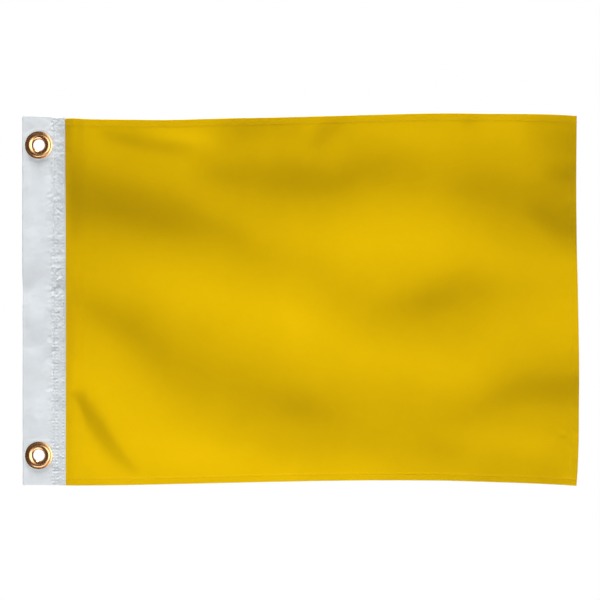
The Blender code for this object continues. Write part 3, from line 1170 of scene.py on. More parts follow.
@dataclass
class Fly:
    """The yellow cloth: one sheet, sewn into the heading and hemmed on its other three edges.

    Attributes:
        layout: Where the CAD pieces are.
        drape: The folds that it hangs in.
        margin: How far the cloth runs inside the heading, past its inner edge.
        cloth: The nylon's thickness.
        hem_width: The hem's width.
        hem_turns: The hem's extra layers of cloth.
        stitch_inset: From the edge to the hem's stitches.
        hem_ease: The distance past the heading over which the hem reaches its full thickness.
        cell: The spacing of the sheet's columns.
        row: The spacing of its rows.
        top_edge: How far the top edge rides up, by distance along the fly, in millimetres.
        bottom_edge: How far the bottom edge does.
        fly_edge: How far the fly end stands out, by height above the centre line.
        bend: How far past the heading's edge the cloth's bend reaches; not used.
        gather: How deep the heading's seam gathers the cloth.
        ripple: How deep the hems' stitches ripple it.
        crumple: How deep it is crumpled in the lower far corner.
        corner: The middle of that corner's crumples, along and above.
        corner_size: How far they reach, along and above.
        hem_edge: The distance over which the hem's turned edge falls to the cloth.
        groove: How deep the hem's stitches sink in.
        edge_bulge: How far the cloth's cut edge stands out.
        end_gap: From the hems' ends to their first stitches.
        hem_rows: The insets of the rows of points along each hemmed edge, in millimetres.
        hoist_columns: Those of the columns beside the heading, from the cloth's end inside it.
    """

    layout: Layout
    drape: Drape
    margin: float = 13.0 * MM
    cloth: float = 0.22 * MM
    hem_width: float = 6.0 * MM
    hem_turns: int = 2
    stitch_inset: float = 5.0 * MM
    hem_ease: float = 2.5 * MM
    cell: float = 2.25 * MM
    row: float = 1.85 * MM
    top_edge: tuple[Point2, ...] = ((-15, -1.8), (1, -2.9), (14, -3.4), (44, -3.8), (80, -3.9),
                                    (110, -3.0), (160, -2.0), (210, -0.6), (260, 1.0), (308, 1.9),
                                    (345, 1.4), (383, 0.9), (402, 0.1), (420, -1.0))
    bottom_edge: tuple[Point2, ...] = ((-15, 0.0), (1, -0.3), (30, -0.1), (77, 0.9), (110, 1.7),
                                       (160, 2.7), (210, 3.7), (245, 4.2), (283, 4.1), (308, 3.8),
                                       (333, 3.1), (358, 2.2), (382, 1.3), (412, -0.4), (420, -0.9))
    fly_edge: tuple[Point2, ...] = ((-152, 0.4), (-140, 1.2), (-120, 2.0), (-85, 2.3), (-50, 2.1),
                                    (-15, 1.7), (15, 1.3), (45, 0.6), (75, -0.2), (110, -0.8),
                                    (152, -1.0))
    bend: float = 16.0 * MM
    gather: float = 0.07 * MM
    ripple: float = 0.06 * MM
    crumple: float = 0.25 * MM
    corner: Point2 = (408 * MM, -118 * MM)
    corner_size: Point2 = (15 * MM, 30 * MM)
    hem_edge: float = 0.35 * MM
    groove: float = 0.03 * MM
    edge_bulge: float = 0.12 * MM
    end_gap: float = 0.8 * MM
    hem_rows: tuple[float, ...] = (0.0, 0.6, 1.6, 2.8, 3.8, 4.5, 5.0, 5.5, 6.0, 6.35, 7.0, 8.2)
    hoist_columns: tuple[float, ...] = (0.0, 4, 8, 11, 12.4, 13.4, 14.4, 15.4, 16.4, 17.4, 18.6, 20,
                                        21.6, 23.2)

    @property
    def length(self) -> float:
        """The fly's length from its bend to its far edge."""
        return self.layout.fly_end - self.layout.hinge

    def inset(self, along: np.ndarray, above: np.ndarray) -> np.ndarray:
        """The distance in from the nearest hemmed edge.

        Args:
            along: Distances along the fly.
            above: Heights above the centre line.

        Returns:
            The distance at each place.
        """
        up_down = self.layout.half_height - np.abs(above)
        return np.minimum(up_down, self.length - along)

    def fine_relief(self, along: np.ndarray, above: np.ndarray) -> np.ndarray:
        """The small relief that sewing and handling leave: gathers, hem ripples and crumples.

        Args:
            along: Distances along the fly.
            above: Heights above the centre line.

        Returns:
            How far each place stands towards the front.
        """
        off = along - (self.layout.heading_edge - self.layout.hinge)
        gathers = self.gather * np.exp(-np.maximum(off, 0) / (11 * MM)) * ease(off / (5 * MM))
        gathers = gathers * wander(above, 17 * MM, 1.3)
        half = self.layout.half_height
        ripples = np.zeros(np.shape(along + above))
        for distance, run, seed in ((half - above, along, 2.1), (half + above, along, 3.7),
                                    (self.length - along, above, 5.2)):
            near = bell(distance - self.stitch_inset, 6 * MM)
            ripples = ripples + self.ripple * near * wander(run, 11 * MM, seed)
        corner = (bell(along - self.corner[0], self.corner_size[0])
                  * bell(above - self.corner[1], self.corner_size[1]))
        crumples = self.crumple * corner * wander(along + 0.6 * above, 9 * MM, 7.7)
        crumples = crumples * wander(above - 0.3 * along, 12 * MM, 4.4)
        return gathers + ripples * ease(off / (15 * MM)) + crumples

    def surface(self, along: np.ndarray, above: np.ndarray, shift: np.ndarray,
                side: Side) -> np.ndarray:
        """Points on one side of the cloth.

        Args:
            along: Distances along the fly from its bend, below 0 inside the heading.
            above: Heights above the centre line.
            shift: How far the broad folds carry the cloth towards the front there.
            side: Which side of the cloth.

        Returns:
            The points, in the frame.
        """
        inset = self.inset(along, above)
        inside = ease((self.hem_width + self.hem_edge - inset) / self.hem_edge)
        hem = inside * ease((along - 0.5 * MM) / self.hem_ease)
        groove = self.groove * bell(inset - self.stitch_inset, 0.55 * MM)
        groove = groove * ease((along - 2 * MM) / self.hem_ease)
        y = -shift - self.fine_relief(along, above)
        if side is Side.FRONT:
            y = y - self.cloth / 2 - 0.05 * MM * hem + groove
        else:
            y = y + self.cloth / 2 + self.hem_turns * self.cloth * 1.15 * hem - groove
        half = self.layout.half_height
        high, low = edge_line(self.top_edge, along), edge_line(self.bottom_edge, along)
        share = (above + half) / (2 * half)
        rise = low + (high - low) * share
        out = edge_line(self.fly_edge, above) * np.clip(along / self.length, 0, 1) ** 2
        spread = np.broadcast_arrays(self.layout.hinge + along + out, y,
                                     self.layout.middle + above + rise)
        return np.stack(spread, -1)

    def build_cloth(self) -> bpy.types.Object:
        """Build the cloth as one closed sheet.

        Returns:
            The fly.
        """
        hem = [inset * MM for inset in self.hem_rows]
        hoist = [inset * MM for inset in self.hoist_columns]
        start = self.layout.heading_edge - self.layout.hinge - self.margin
        along = graded(start, self.length, self.cell, hoist, hem)
        half = self.layout.half_height
        above = graded(-half, half, self.row, hem, hem)
        x, z = np.meshgrid(along, above, indexing="ij")
        shift = self.drape.shift(along[:, None], above[None, :])
        near = self.surface(x, z, shift, Side.FRONT)
        far = self.surface(x, z, shift, Side.BACK)
        cloth = closed_sheet("fly_cloth", near, far, np.stack([x, z], -1), self.edge_bulge,
                             NYLON.material())
        return cloth

    def stitch_path(self, hem: Hem, side: Side) -> tuple[np.ndarray, np.ndarray]:
        """Where one hem's stitches run.

        Args:
            hem: Which hem.
            side: Which side of the cloth.

        Returns:
            The path's points and the way off the cloth at each.
        """
        half = self.layout.half_height
        start = self.layout.heading_edge - self.layout.hinge + 1.0 * MM
        if hem is Hem.FLY:
            above = np.linspace(-half + self.end_gap, half - self.end_gap, 300)
            along = np.full_like(above, self.length - self.stitch_inset)
        else:
            along = np.linspace(start, self.length - self.end_gap, 420)
            above = np.full_like(along, half - self.stitch_inset)
            above = above if hem is Hem.TOP else -above
        points = self.surface(along, above, self.drape.shift(along, above), side)
        outward = np.tile((0.0, float(side.value), 0.0), (len(points), 1))
        return points, outward

    def build(self) -> list[bpy.types.Object]:
        """Build the cloth and its hems' stitches, and bake each piece's placing into its mesh.

        Returns:
            The fly's pieces.
        """
        cloth = self.build_cloth()
        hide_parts("fly_panel", "fly_hoist_margin")
        pieces = [cloth]
        sewing = Sewing(pitch=3.1 * MM, reach=2.7 * MM, radius=0.12 * MM, lift=0.14 * MM)
        for hem in Hem:
            for side, thread in ((Side.FRONT, "needle"), (Side.BACK, "bobbin")):
                points, outward = self.stitch_path(hem, side)
                name = f"{hem.value}_hem_{thread}_stitches"
                row = sewing.sew(name, points, outward, YELLOW_THREAD)
                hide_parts(f"{hem.value}_hem_{thread}_thread")
                pieces.append(row)
        for piece in pieces:
            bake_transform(piece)
        return pieces


# ---------------------------------------------------------------------------------------------
# The heading
# ---------------------------------------------------------------------------------------------

HEADING_FOLDS = (
    # soft swells of the tape
    Fold(((0, 89, 11, -0.015), (16, 89, 12, -0.03), (27, 89, 11, -0.01), (36, 89, 10, 0.0))),
    Fold(((0, 50, 7, -0.035), (10, 50, 7, -0.03), (19, 50, 7, 0.015), (28, 50, 7, 0.0))),
    Fold(((0, 25, 9, 0.075), (8, 22, 9, 0.05), (24, 20, 10, 0.045), (36, 18, 10, 0.03))),
    Fold(((0, -4, 8, -0.01), (16, -6, 10, -0.03), (28, -6, 9, 0.0))),
    Fold(((0, -25, 8, 0.03), (20, -27, 8, 0.02), (36, -28, 8, 0.0))),
    Fold(((0, -46, 6, -0.04), (9, -46, 6, -0.03), (18, -46, 6, 0.015), (28, -46, 6, 0.0))),
    Fold(((0, -60, 5, 0.02), (14, -60, 5, 0.02), (24, -60, 5, 0.0))),
    Fold(((5, -84, 13, 0.0), (18, -84, 13, -0.035), (28, -84, 12, -0.01), (34, -84, 10, 0.0))),
    # pulled places beside the seam
    Fold(((24, 130, 8, 0.0), (29, 128, 9, 0.05), (33, 126, 9, 0.04), (36, 126, 9, 0.01))),
    Fold(((28, 85, 20, 0.0), (33, 85, 20, 0.02), (36, 85, 20, 0.05))),
    Fold(((24, 15, 6, 0.0), (30, 14, 6, 0.11), (34, 12, 6, 0.07), (36, 10, 6, 0.05))),
    Fold(((31, -1, 6, 0.0), (36, -1, 8, 0.04))),
    Fold(((24, -124, 6, 0.0), (29, -124, 7, 0.06), (33, -124, 7, 0.04), (36, -124, 7, 0.0))),
    Fold(((20, -115, 2.5, 0.0), (28, -115, 2.5, 0.09), (33, -115, 2.5, 0.05), (36, -115, 2.5, 0.0))),
    Fold(((20, 115, 2.5, 0.0), (28, 115, 2.5, 0.05), (36, 115, 2.5, 0.03))),
)
PUCKER_STRENGTH = ((-153, 0.8), (-125, 1.1), (-110, 1.0), (-80, 1.0), (-40, 1.0), (-10, 1.1), (12, 1.3),
                   (28, 1.2), (45, 1.0), (70, 1.0), (100, 1.0), (118, 1.2), (135, 1.0), (153, 0.8))


@dataclass
class Heading:
    """The white tape, folded around the hoist edge, with the fly sewn between its plies.

    Attributes:
        layout: Where the CAD pieces are.
        drape: The fly's folds, which its sewn side follows.
        tape: One ply's thickness.
        fold: The radius of the fold at the hoist.
        cell: The spacing of the front's columns.
        seam_cell: Their spacing around the twin rows.
        back_cell: The spacing of the back's columns.
        row: The spacing of the rows.
        eyelet: The radius of the holes for the grommets' barrels.
        pitch: The length of one stitch.
        reach: The length of thread that shows in it.
        twin_rows: The X of the twin rows of stitches.
        edge_row_inset: From the inner edge to the edge row.
        patch_height: The height of the stiffening in each end.
        drop: How far the upper end is drawn down, by X, in millimetres.
        run_in: From each end to the first stitch.
        row_pull: How deep a row of stitches pulls a ply in.
        needle_pit: How much deeper each needle hole does.
        pucker: How deep the small slanting creases at the twin rows are.
        pucker_slants: The ways in which they slant, in degrees.
        pucker_size: A crease's length and width.
        pucker_reach: How far to each side of the twin rows they go.
        flat_radius: The radius around a grommet in which there are none.
        close_width: The width of the strip where the plies close on the fly's cloth.
        fold_steps: The facets around the hoist's fold.
        patch_inset: From the heading's end to its stiffening.
        patch_rows: The rows of points up one stiffening.
    """

    layout: Layout
    drape: Drape
    tape: float = 0.40 * MM
    fold: float = 1.05 * MM
    cell: float = 0.9 * MM
    seam_cell: float = 0.42 * MM
    back_cell: float = 1.5 * MM
    row: float = 0.62 * MM
    eyelet: float = 5.72 * MM
    pitch: float = 2.6 * MM
    reach: float = 2.15 * MM
    twin_rows: Point2 = (12.1 * MM, 15.0 * MM)
    edge_row_inset: float = 1.7 * MM
    patch_height: float = 38.0 * MM
    drop: tuple[Point2, ...] = ((-13.5, -0.5), (0, -0.7), (8, -1.0), (15, -1.6), (22, -2.1))
    run_in: float = 2.0 * MM
    row_pull: float = 0.12 * MM
    needle_pit: float = 0.30 * MM
    pucker: float = 0.10 * MM
    pucker_slants: tuple[float, ...] = (38.0, 62.0, -50.0, 15.0)
    pucker_size: Point2 = (3.6 * MM, 1.25 * MM)
    pucker_reach: float = 6.2 * MM
    flat_radius: float = 13.2 * MM
    close_width: float = 2.6 * MM
    fold_steps: int = 14
    patch_inset: float = 0.9 * MM
    patch_rows: int = 40
    relief: Relief = field(init=False)

    def __post_init__(self) -> None:
        """Sum the swells' slopes into the tape's relief."""
        self.relief = Relief(HEADING_FOLDS, self.layout.half_height)

    def settle(self, x: np.ndarray, z: np.ndarray) -> np.ndarray:
        """Let the upper end down where the seam has drawn it in.

        Args:
            x: The places' X.
            z: Their Z.

        Returns:
            The settled Z.
        """
        near = ease((z - self.layout.top + 12 * MM) / (12 * MM))
        return z + edge_line(self.drop, x) * near

    @property
    def edge_row(self) -> float:
        """The X of the edge row of stitches."""
        return self.layout.heading_edge - self.edge_row_inset

    def sewn_dents(self, x: np.ndarray, z: np.ndarray, seed: float) -> np.ndarray:
        """How the three rows of stitches pull a ply in, most of all at the needle holes.

        Args:
            x: The places' X.
            z: Their Z.
            seed: The ply's own seed.

        Returns:
            The dent at each place.
        """
        beat = np.cos(math.tau * ((z - self.layout.bottom - self.run_in) / self.pitch + 0.5))
        total = np.zeros(np.shape(x + z))
        for k, row in enumerate((*self.twin_rows, self.edge_row)):
            pull = self.row_pull + 0.05 * MM * wander(z, 21 * MM, seed + k)
            total = total + pull * bell(x - row, 0.75 * MM)
            total = total + self.needle_pit * ease(beat) ** 2 * bell(x - row, 0.65 * MM)
        return total

    def puckers(self, x: np.ndarray, z: np.ndarray, seed: float) -> np.ndarray:
        """The small slanting creases into which the twin rows gather a ply.

        Args:
            x: The places' X.
            z: Their Z.
            seed: The ply's own seed.

        Returns:
            The dent at each place.
        """
        seam = sum(self.twin_rows) / 2 + 0.5 * MM
        zone = bell(x - seam, self.pucker_reach, 4)
        for height in self.layout.grommets.values():
            zone = zone * (1.0 - bell(np.hypot(x, z - height), self.flat_radius, 10))
        places, strengths = zip(*PUCKER_STRENGTH)
        strength = smooth_line(places, strengths, (z - self.layout.middle) / MM)
        strength = strength * (1.0 + 0.4 * mottle(x, z, (4 * MM, 7 * MM), seed + 1.0))
        creases = np.zeros(np.shape(x + z))
        for k, degrees in enumerate(self.pucker_slants):
            run, rise = math.cos(math.radians(degrees)), math.sin(math.radians(degrees))
            along, across = x * run + z * rise, z * run - x * rise
            creases = creases + self.pucker * mottle(along, across, self.pucker_size, seed + 2.0 + k)
        creases = creases + 0.05 * MM * wander(z + 0.2 * x, 13 * MM, seed + 5.5)
        return zone * strength * creases

    def pressed_marks(self, x: np.ndarray, z: np.ndarray) -> np.ndarray:
        """The marks of what the tape is pressed on: the grommets' rims and the stiffening.

        Args:
            x: The places' X.
            z: Their Z.

        Returns:
            The dent at each place.
        """
        total = np.zeros(np.shape(x + z))
        for height in self.layout.grommets.values():
            rim = np.hypot(x, z - height) - 12.4 * MM
            total = total - 0.10 * MM * bell(rim, 1.3 * MM)
        for end, inward in self.layout.ends.values():
            past = (z - end) * inward - self.patch_height
            total = total + 0.045 * MM * bell(past, 0.9 * MM)
            total = total - 0.03 * MM * ease(-past / (1.8 * MM))
        return total

    def dent(self, x: np.ndarray, z: np.ndarray, side: Side) -> np.ndarray:
        """How far one ply is pressed in towards the fly's cloth.

        Args:
            x: The places' X.
            z: Their Z.
            side: Which ply.

        Returns:
            The dent at each place, below 0 where the ply stands out.
        """
        seed = 0.0 if side is Side.FRONT else 20.0
        above = z - self.layout.middle
        total = side.value * self.drape.shift(x - self.layout.hinge, above)
        total = total + self.sewn_dents(x, z, seed) + self.puckers(x, z, seed)
        strip = bell(x - 18.4 * MM, 3.0 * MM)
        total = total + 0.06 * MM * strip * wander(z + 0.9 * x, 9 * MM, seed + 2.2)
        close = ease((x - (self.layout.heading_edge - self.close_width)) / self.close_width)
        reach = 0.52 * MM if side is Side.FRONT else 0.12 * MM
        total = total + reach * close + self.pressed_marks(x, z)
        total = total + 0.20 * MM * mottle(x, z, (9 * MM, 11 * MM), seed + 9.0)
        total = total + 0.06 * MM * mottle(x + z, z - x, (6 * MM, 4 * MM), seed + 10.0)
        if side is Side.FRONT:
            swell = self.relief.at(x - self.layout.hoist, above)
            total = total - 0.45 * MM * np.tanh(swell / (0.45 * MM))
        return total

    def profile(self) -> tuple[np.ndarray, np.ndarray, np.ndarray]:
        """The folded tape's section, from the front's inner edge round to the back's.

        Returns:
            The section's points, the outward direction at each, and the way along the tape.
        """
        front, back = self.layout.tape_front, self.layout.tape_back
        hoist, edge = self.layout.hoist, self.layout.heading_edge
        half = (back - front) / 2
        turn = (hoist + self.fold, (front + back) / 2)
        first, second = self.twin_rows
        near = [*np.arange(edge, second + 2 * MM, -self.cell),
                *np.arange(second + 2 * MM, first - 2 * MM, -self.seam_cell),
                *np.arange(first - 2 * MM, hoist + self.fold, -self.cell)]
        far = np.arange(hoist + self.fold, edge - 0.1 * MM, self.back_cell)[1:]
        section = [(x, front) for x in near]
        section += arc(turn, (self.fold, half), 270, 90, self.fold_steps)
        section += [(x, back) for x in (*far, edge)]
        points = np.array(section)
        along = np.gradient(points, axis=0)
        along /= np.linalg.norm(along, axis=1, keepdims=True)
        outward = np.stack([along[:, 1], -along[:, 0]], 1)
        outward *= -np.sign(outward[0, 1])
        steps = np.linalg.norm(np.diff(points, axis=0), axis=1)
        return points, outward, np.concatenate([[0.0], np.cumsum(steps)])

    def build_tape(self) -> bpy.types.Object:
        """Build the folded tape, with its two eyelets.

        Returns:
            The heading.
        """
        points, outward, way = self.profile()
        count = round((self.layout.top - self.layout.bottom) / self.row)
        z = np.linspace(self.layout.bottom, self.layout.top, count + 1)
        x = points[:, 0][:, None]
        front = self.dent(x, z[None, :], Side.FRONT)
        back = self.dent(x, z[None, :], Side.BACK)
        share = ease((points[:, 1] - self.layout.tape_front)
                     / (self.layout.tape_back - self.layout.tape_front))[:, None]
        dent = front * (1 - share) + back * share
        faces = []
        for depth in (0.0, self.tape):
            shift = dent + depth
            u = points[:, 0][:, None] - outward[:, 0][:, None] * shift
            v = points[:, 1][:, None] - outward[:, 1][:, None] * shift
            faces.append(np.stack(np.broadcast_arrays(u, v, self.settle(u, z[None, :])), -1))
        chart = np.stack(np.broadcast_arrays(way[:, None], z[None, :]), -1)
        tape = closed_sheet("heading_cloth", faces[0], faces[1], chart, 0.08 * MM, TAPE.material())
        self.cut_eyelets(tape)
        return tape

    def cut_eyelets(self, piece: bpy.types.Object) -> None:
        """Cut the grommets' holes through a piece.

        Args:
            piece: The piece to cut.
        """
        for height in self.layout.grommets.values():
            bpy.ops.mesh.primitive_cylinder_add(vertices=64, radius=self.eyelet, depth=12 * MM,
                                                location=(0.0, 0.0, height),
                                                rotation=(math.pi / 2, 0.0, 0.0))
            punch = bpy.context.object
            cut = piece.modifiers.new("eyelet", "BOOLEAN")
            cut.operation, cut.solver, cut.object = "DIFFERENCE", "EXACT", punch
            mesh = plain_mesh(piece)
            piece.modifiers.remove(cut)
            piece.data = mesh
            bpy.data.objects.remove(punch)

    def build_patches(self) -> list[bpy.types.Object]:
        """Build the stiffening inside each end.

        Returns:
            The two patches.
        """
        patches = []
        low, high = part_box("upper_reinforcement_patch")
        x = np.arange(low.x, self.layout.heading_edge - 4 * MM, 1.0 * MM)
        for end, (edge, inward) in self.layout.ends.items():
            z = np.sort(np.linspace(edge + inward * self.patch_inset, edge + inward * self.patch_height,
                                    self.patch_rows))
            u, v = np.meshgrid(x, z, indexing="ij")
            sag = 0.03 * MM * wander(u + v, 19 * MM, 2.0)
            sag = sag - self.drape.shift(x[:, None] - self.layout.hinge, z[None, :] - self.layout.middle)
            near = np.stack([u, low.y + sag, self.settle(u, v)], -1)
            far = np.stack([u, high.y + sag, self.settle(u, v)], -1)
            patch = closed_sheet(f"{end.value}_stiffening", near, far, np.stack([u, v], -1), 0.05 * MM,
                                 STIFFENING.material())
            self.cut_eyelets(patch)
            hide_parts(f"{end.value}_reinforcement_patch")
            patches.append(patch)
        return patches

    def build_rows(self) -> list[bpy.types.Object]:
        """Sew the twin rows and the edge row, on both plies.

        Returns:
            The rows of stitches.
        """
        rows = []
        sewing = Sewing(pitch=self.pitch, reach=self.reach, radius=0.25 * MM, lift=0.26 * MM,
                        dip=0.35 * MM)
        names = ("first_row", "second_row", "edge_row")
        z = np.arange(self.layout.bottom + self.run_in, self.layout.top - self.run_in, self.pitch)
        for name, x in zip(names, (*self.twin_rows, self.edge_row)):
            for side, thread in ((Side.FRONT, "needle"), (Side.BACK, "bobbin")):
                face = self.layout.tape_front if side is Side.FRONT else self.layout.tape_back
                places = np.full_like(z, x)
                y = face - side.value * self.dent(places, z, side)
                outward = np.tile((0.0, float(side.value), 0.0), (len(z), 1))
                path = np.stack([places, y, self.settle(places, z)], 1)
                row = sewing.sew(f"heading_{name}_{thread}_stitches", path, outward, WHITE_THREAD)
                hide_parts(f"heading_{name}_{thread}_thread")
                rows.append(row)
        return rows

    def build(self) -> list[bpy.types.Object]:
        """Build the tape, its stiffening and its stitches, and set them on their body.

        Returns:
            The heading's pieces.
        """
        tape = self.build_tape()
        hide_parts("heading_tape")
        pieces = [tape, *self.build_patches(), *self.build_rows()]
        for piece in pieces:
            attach(piece, "heading")
        return pieces


# ---------------------------------------------------------------------------------------------
# The grommets
# ---------------------------------------------------------------------------------------------

@dataclass
class Grommet:
    """A pressed brass eyelet through the heading, rolled over a domed washer behind it.

    Attributes:
        layout: Where the CAD pieces are.
        end: The heading's end that it is at.
        wall: The brass's thickness.
        hole: The hole's radius.
        crest: The radius at which the dome is highest.
        foot: The radius at which the dome meets the flat rim.
        dome: The dome's height above the rim.
        throat: How far the dome's inner side falls to the barrel.
        curl: The radius of the barrel's rolled end.
        gap: The space between two layers that lie on each other.
        sides: The flats in a full turn.
        washer_dome: The washer's dome: its middle radius, its half-width and its height.
        rolled_edge: The radius where the barrel's rolled end meets the washer.
    """

    layout: Layout
    end: End
    wall: float = 0.5 * MM
    hole: float = 4.95 * MM
    crest: float = 8.0 * MM
    foot: float = 9.9 * MM
    dome: float = 1.6 * MM
    throat: float = 2.2 * MM
    curl: float = 0.9 * MM
    gap: float = 0.3 * MM
    sides: int = 112
    washer_dome: tuple[float, float, float] = (9.4 * MM, 1.7 * MM, 0.55 * MM)
    rolled_edge: float = 7.4 * MM

    @property
    def outer(self) -> float:
        """The rim's radius, just inside the CAD rim's."""
        return self.layout.flange_radius - 0.1 * MM

    def places(self, piece: bpy.types.Object) -> tuple[np.ndarray, np.ndarray]:
        """Read where a brass piece's vertices are.

        Args:
            piece: The brass piece.

        Returns:
            Each vertex's radius about the grommet's line, and its Y.
        """
        corners = np.zeros(len(piece.data.vertices) * 3, np.float32)
        piece.data.vertices.foreach_get("co", corners)
        x, y, z = corners.reshape(-1, 3).T
        return np.hypot(x, z - self.layout.grommets[self.end]), y

    def eyelet_nooks(self, radius: np.ndarray, y: np.ndarray) -> np.ndarray:
        """How sheltered the eyelet is at its dome's foot and down its throat.

        Args:
            radius: Each vertex's radius.
            y: Its Y.

        Returns:
            The shelter there, from 0 to 1.
        """
        crown = self.layout.tape_front - self.gap - self.dome
        down = ease((y - (crown + 1.0 * MM)) / (1.6 * MM))
        inside = down * ease((self.crest - radius) / (1.5 * MM))
        return np.maximum(0.8 * bell(radius - self.foot, 0.45 * MM), 0.9 * inside)

    def washer_nooks(self, radius: np.ndarray) -> np.ndarray:
        """How sheltered the washer is, beside the barrel's rolled end."""
        return bell(radius - self.rolled_edge, 0.6 * MM)

    def eyelet_outline(self) -> list[Point2]:
        """The eyelet's pressed section: rim, dome, throat, barrel and rolled end.

        Returns:
            The closed outline, as (radius, y).
        """
        rim = self.layout.tape_front - self.gap - self.wall / 2
        barrel = self.hole + self.wall / 2
        middle = [(self.outer, rim + 0.14 * MM), (self.outer - 0.35 * MM, rim + 0.03 * MM),
                  (self.outer - 0.8 * MM, rim - 0.02 * MM)]
        middle += arc((self.crest, rim), (self.foot - self.crest, -self.dome), 8, 90, 12)
        middle += arc((self.crest, rim - self.dome + self.throat), (self.crest - barrel, -self.throat),
                      90, 180, 16)[1:]
        behind = self.layout.tape_back + 2 * self.gap + self.wall
        middle += [(barrel, y) for y in np.linspace(rim - self.dome + self.throat, behind, 6)[1:-1]]
        middle += arc((barrel + self.curl, behind), (self.curl, self.curl), 180, 0, 14)
        return pressed_outline(middle, self.wall)

    def washer_outline(self) -> list[Point2]:
        """The washer's pressed section: a flat neck and a shallow dome.

        Returns:
            The closed outline, as (radius, y).
        """
        seat = self.layout.tape_back + self.gap + self.wall / 2
        inner = self.hole + self.wall + self.gap
        radius, half, height = self.washer_dome
        middle = [(inner, seat), (inner + 0.9 * MM, seat), (inner + 1.6 * MM, seat)]
        middle += arc((radius, seat), (half, height), 172, 20, 14)
        middle += [(self.outer, seat - 0.04 * MM)]
        return pressed_outline(middle, self.wall)

    def build(self) -> list[bpy.types.Object]:
        """Build the eyelet and its washer, and set them on the heading's body.

        Returns:
            The two brass pieces.
        """
        centre = (0.0, self.layout.grommets[self.end])
        eyelet = turned_piece(f"{self.end.value}_grommet_eyelet", self.eyelet_outline(), centre,
                              self.sides, BRASS.material())
        washer = turned_piece(f"{self.end.value}_grommet_collar", self.washer_outline(), centre,
                              self.sides, BRASS.material())
        shelter = {eyelet: self.eyelet_nooks(*self.places(eyelet)),
                   washer: self.washer_nooks(self.places(washer)[0])}
        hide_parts(f"{self.end.value}_grommet")
        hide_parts(f"{self.end.value}_grommet_washer")
        for piece, nooks in shelter.items():
            layer = piece.data.attributes.new("nook", "FLOAT", "POINT")
            layer.data.foreach_set("value", nooks.astype(np.float32))
            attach(piece, "heading")
        return [eyelet, washer]


# ---------------------------------------------------------------------------------------------
# The studio
# ---------------------------------------------------------------------------------------------

@dataclass(frozen=True)
class SoftLight:
    """One softbox.

    Attributes:
        name: Its name.
        place: Where it stands, from the flag's centre.
        size: Its width and height.
        power: Its power, in watts.
        shines: Whether polished metal mirrors it.
        shades: Whether it casts shadows.
    """

    name: str
    place: tuple[float, float, float]
    size: Point2
    power: float
    shines: bool = True
    shades: bool = True


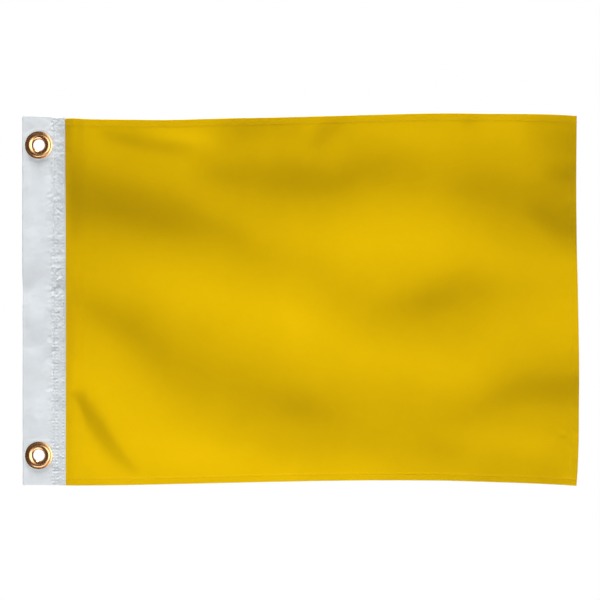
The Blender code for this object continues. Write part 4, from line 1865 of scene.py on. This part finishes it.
@dataclass
class Studio:
    """A pale floor, soft lights and a camera square on to the flag.

    Attributes:
        layout: Where the CAD pieces are.
        view_width: The width that the camera frames at the flag.
        lens: The camera's focal length, in millimetres.
        sensor: The sensor's width, in millimetres.
        floor_drop: How far below the flag the floor is.
        floor_radius: The floor's radius.
        lights: The softboxes.
        ambient: The strength of the room's own light.
        mirrored: The strength of the room's dark parts as polished metal mirrors them.
        mirrored_tint: Their tint, that of a warm wooden room.
        card: The strength of the white card that polished metal mirrors.
        card_way: The way towards the card's middle.
        card_spread: The cosines of the angles at the card's outer and inner soft edges.
    """

    layout: Layout
    view_width: float = 0.4953
    lens: float = 160.0
    sensor: float = 36.0
    floor_drop: float = 1.35
    floor_radius: float = 1.3
    lights: tuple[SoftLight, ...] = (
        SoftLight("key_light", (-0.35, -1.70, 6.00), (3.0, 1.8), 415.0, False),
        SoftLight("wash_light", (-0.35, -1.70, 6.00), (3.0, 1.8), 400.0, False, False),
        SoftLight("right_light", (2.40, -1.10, 0.20), (2.4, 2.2), 6.0),
        SoftLight("low_light", (-0.50, -1.00, -0.30), (0.7, 0.7), 1.7, False),
        SoftLight("back_light", (0.50, 2.00, 4.20), (2.4, 1.6), 260.0),
    )
    ambient: float = 0.08
    mirrored: float = 0.12
    mirrored_tint: Colour = (1.0, 0.65, 0.53)
    card: float = 2.4
    card_way: tuple[float, float, float] = (0.67, -0.74, 0.05)
    card_spread: Point2 = (0.66, 0.97)

    @property
    def centre(self) -> tuple[float, float, float]:
        """The middle of the flag's face."""
        return ((self.layout.hoist + self.layout.fly_end) / 2 + 0.4 * MM, 0.0,
                self.layout.middle + 0.2 * MM)

    def build_floor(self) -> None:
        """Build the floor, with a faint unevenness."""
        material = bpy.data.materials.new("pale_floor")
        material.use_nodes = True
        graph = ShaderGraph(material.node_tree)
        shader = material.node_tree.nodes["Principled BSDF"]
        place = graph.add("ShaderNodeTexCoord").outputs["Object"]
        noise = graph.add("ShaderNodeTexNoise", {"Vector": place, "Scale": 30.0, "Detail": 3.0})
        graph.feed(shader.inputs["Base Color"],
                   graph.blend(noise.outputs["Fac"], (0.90, 0.90, 0.90, 1), (0.87, 0.87, 0.87, 1)))
        shader.inputs["Roughness"].default_value = 0.9
        bm = bmesh.new()
        bmesh.ops.create_circle(bm, cap_ends=True, segments=96, radius=self.floor_radius)
        mesh = bpy.data.meshes.new("floor")
        x, _, _ = self.centre
        bmesh.ops.translate(bm, verts=bm.verts, vec=(x, 0.0, self.layout.bottom - self.floor_drop))
        bm.to_mesh(mesh)
        bm.free()
        mesh.materials.append(material)
        show("floor", mesh)

    def build_world(self) -> None:
        """Light the room evenly, and show it white behind the flag."""
        world = bpy.data.worlds.new("studio")
        world.use_nodes = True
        graph = ShaderGraph(world.node_tree)
        world.node_tree.nodes.clear()
        seen = graph.add("ShaderNodeBackground", {"Color": (1, 1, 1, 1), "Strength": 1.0})
        glow = graph.add("ShaderNodeBackground", {"Color": (0.95, 0.97, 1, 1), "Strength": self.ambient})
        way = graph.add("ShaderNodeTexCoord").outputs["Generated"]
        facing = graph.add("ShaderNodeVectorMath", {0: way, 1: self.card_way},
                           operation="DOT_PRODUCT").outputs["Value"]
        outer, inner = self.card_spread
        card = graph.add("ShaderNodeMapRange", {0: facing, 1: outer, 2: inner, 3: 0.0, 4: 1.0},
                         interpolation_type="SMOOTHSTEP").outputs[0]
        strength = graph.calc("MULTIPLY_ADD", card, self.card - self.mirrored, self.mirrored)
        shine = graph.add("ShaderNodeBackground", {
            "Color": graph.blend(card, (*self.mirrored_tint, 1.0), (1.0, 1.0, 1.0, 1.0)),
            "Strength": strength,
        })
        path = graph.add("ShaderNodeLightPath")
        room = graph.add("ShaderNodeMixShader", {0: path.outputs["Is Glossy Ray"], 1: glow.outputs[0],
                                                 2: shine.outputs[0]})
        mix = graph.add("ShaderNodeMixShader", {0: path.outputs["Is Camera Ray"], 1: room.outputs[0],
                                                2: seen.outputs[0]})
        graph.add("ShaderNodeOutputWorld", {0: mix.outputs[0]})
        bpy.context.scene.world = world

    def build_lights(self) -> None:
        """Hang the softboxes, each facing the flag's centre."""
        for light in self.lights:
            data = bpy.data.lights.new(light.name, "AREA")
            data.shape = "RECTANGLE"
            data.size, data.size_y = light.size
            data.energy = light.power
            data.use_shadow = light.shades
            lamp = show(light.name, data)
            lamp.location = np.array(self.centre) + np.array(light.place)
            lamp.rotation_euler = Vector(light.place).to_track_quat("Z", "Y").to_euler()
            lamp.visible_glossy = light.shines

    def build_camera(self) -> None:
        """Set the camera square on to the flag."""
        data = bpy.data.cameras.new("camera")
        data.lens, data.sensor_width = self.lens, self.sensor
        camera = show("camera", data)
        x, _, z = self.centre
        distance = self.lens / self.sensor * self.view_width
        camera.location = (x, -distance, z)
        camera.rotation_euler = (math.pi / 2, 0.0, 0.0)
        bpy.context.scene.camera = camera
        bpy.context.scene.view_settings.view_transform = "Standard"

    def build(self) -> None:
        """Build the floor, the room, the lights and the camera."""
        self.build_floor()
        self.build_world()
        self.build_lights()
        self.build_camera()


def report(pieces: Iterable[bpy.types.Object]) -> None:
    """Log each piece and its size.

    Args:
        pieces: The pieces just built.
    """
    for piece in pieces:
        faces = sum(len(p.vertices) - 2 for p in piece.data.polygons)
        size = ", ".join(f"{value / MM:.1f}" for value in piece.dimensions)
        LOG.info("%s: %d triangles, %s mm", piece.name, faces, size)


def main() -> None:
    """Build the flag and its studio, in order."""
    logging.basicConfig(level=logging.INFO, format="%(name)s: %(message)s")
    layout = Layout.from_frame()
    drape = Drape(layout)
    report(Heading(layout, drape).build())
    for end in End:
        report(Grommet(layout, end).build())
    report(Fly(layout, drape).build())
    Studio(layout).build()


if __name__ == "__main__":
    main()
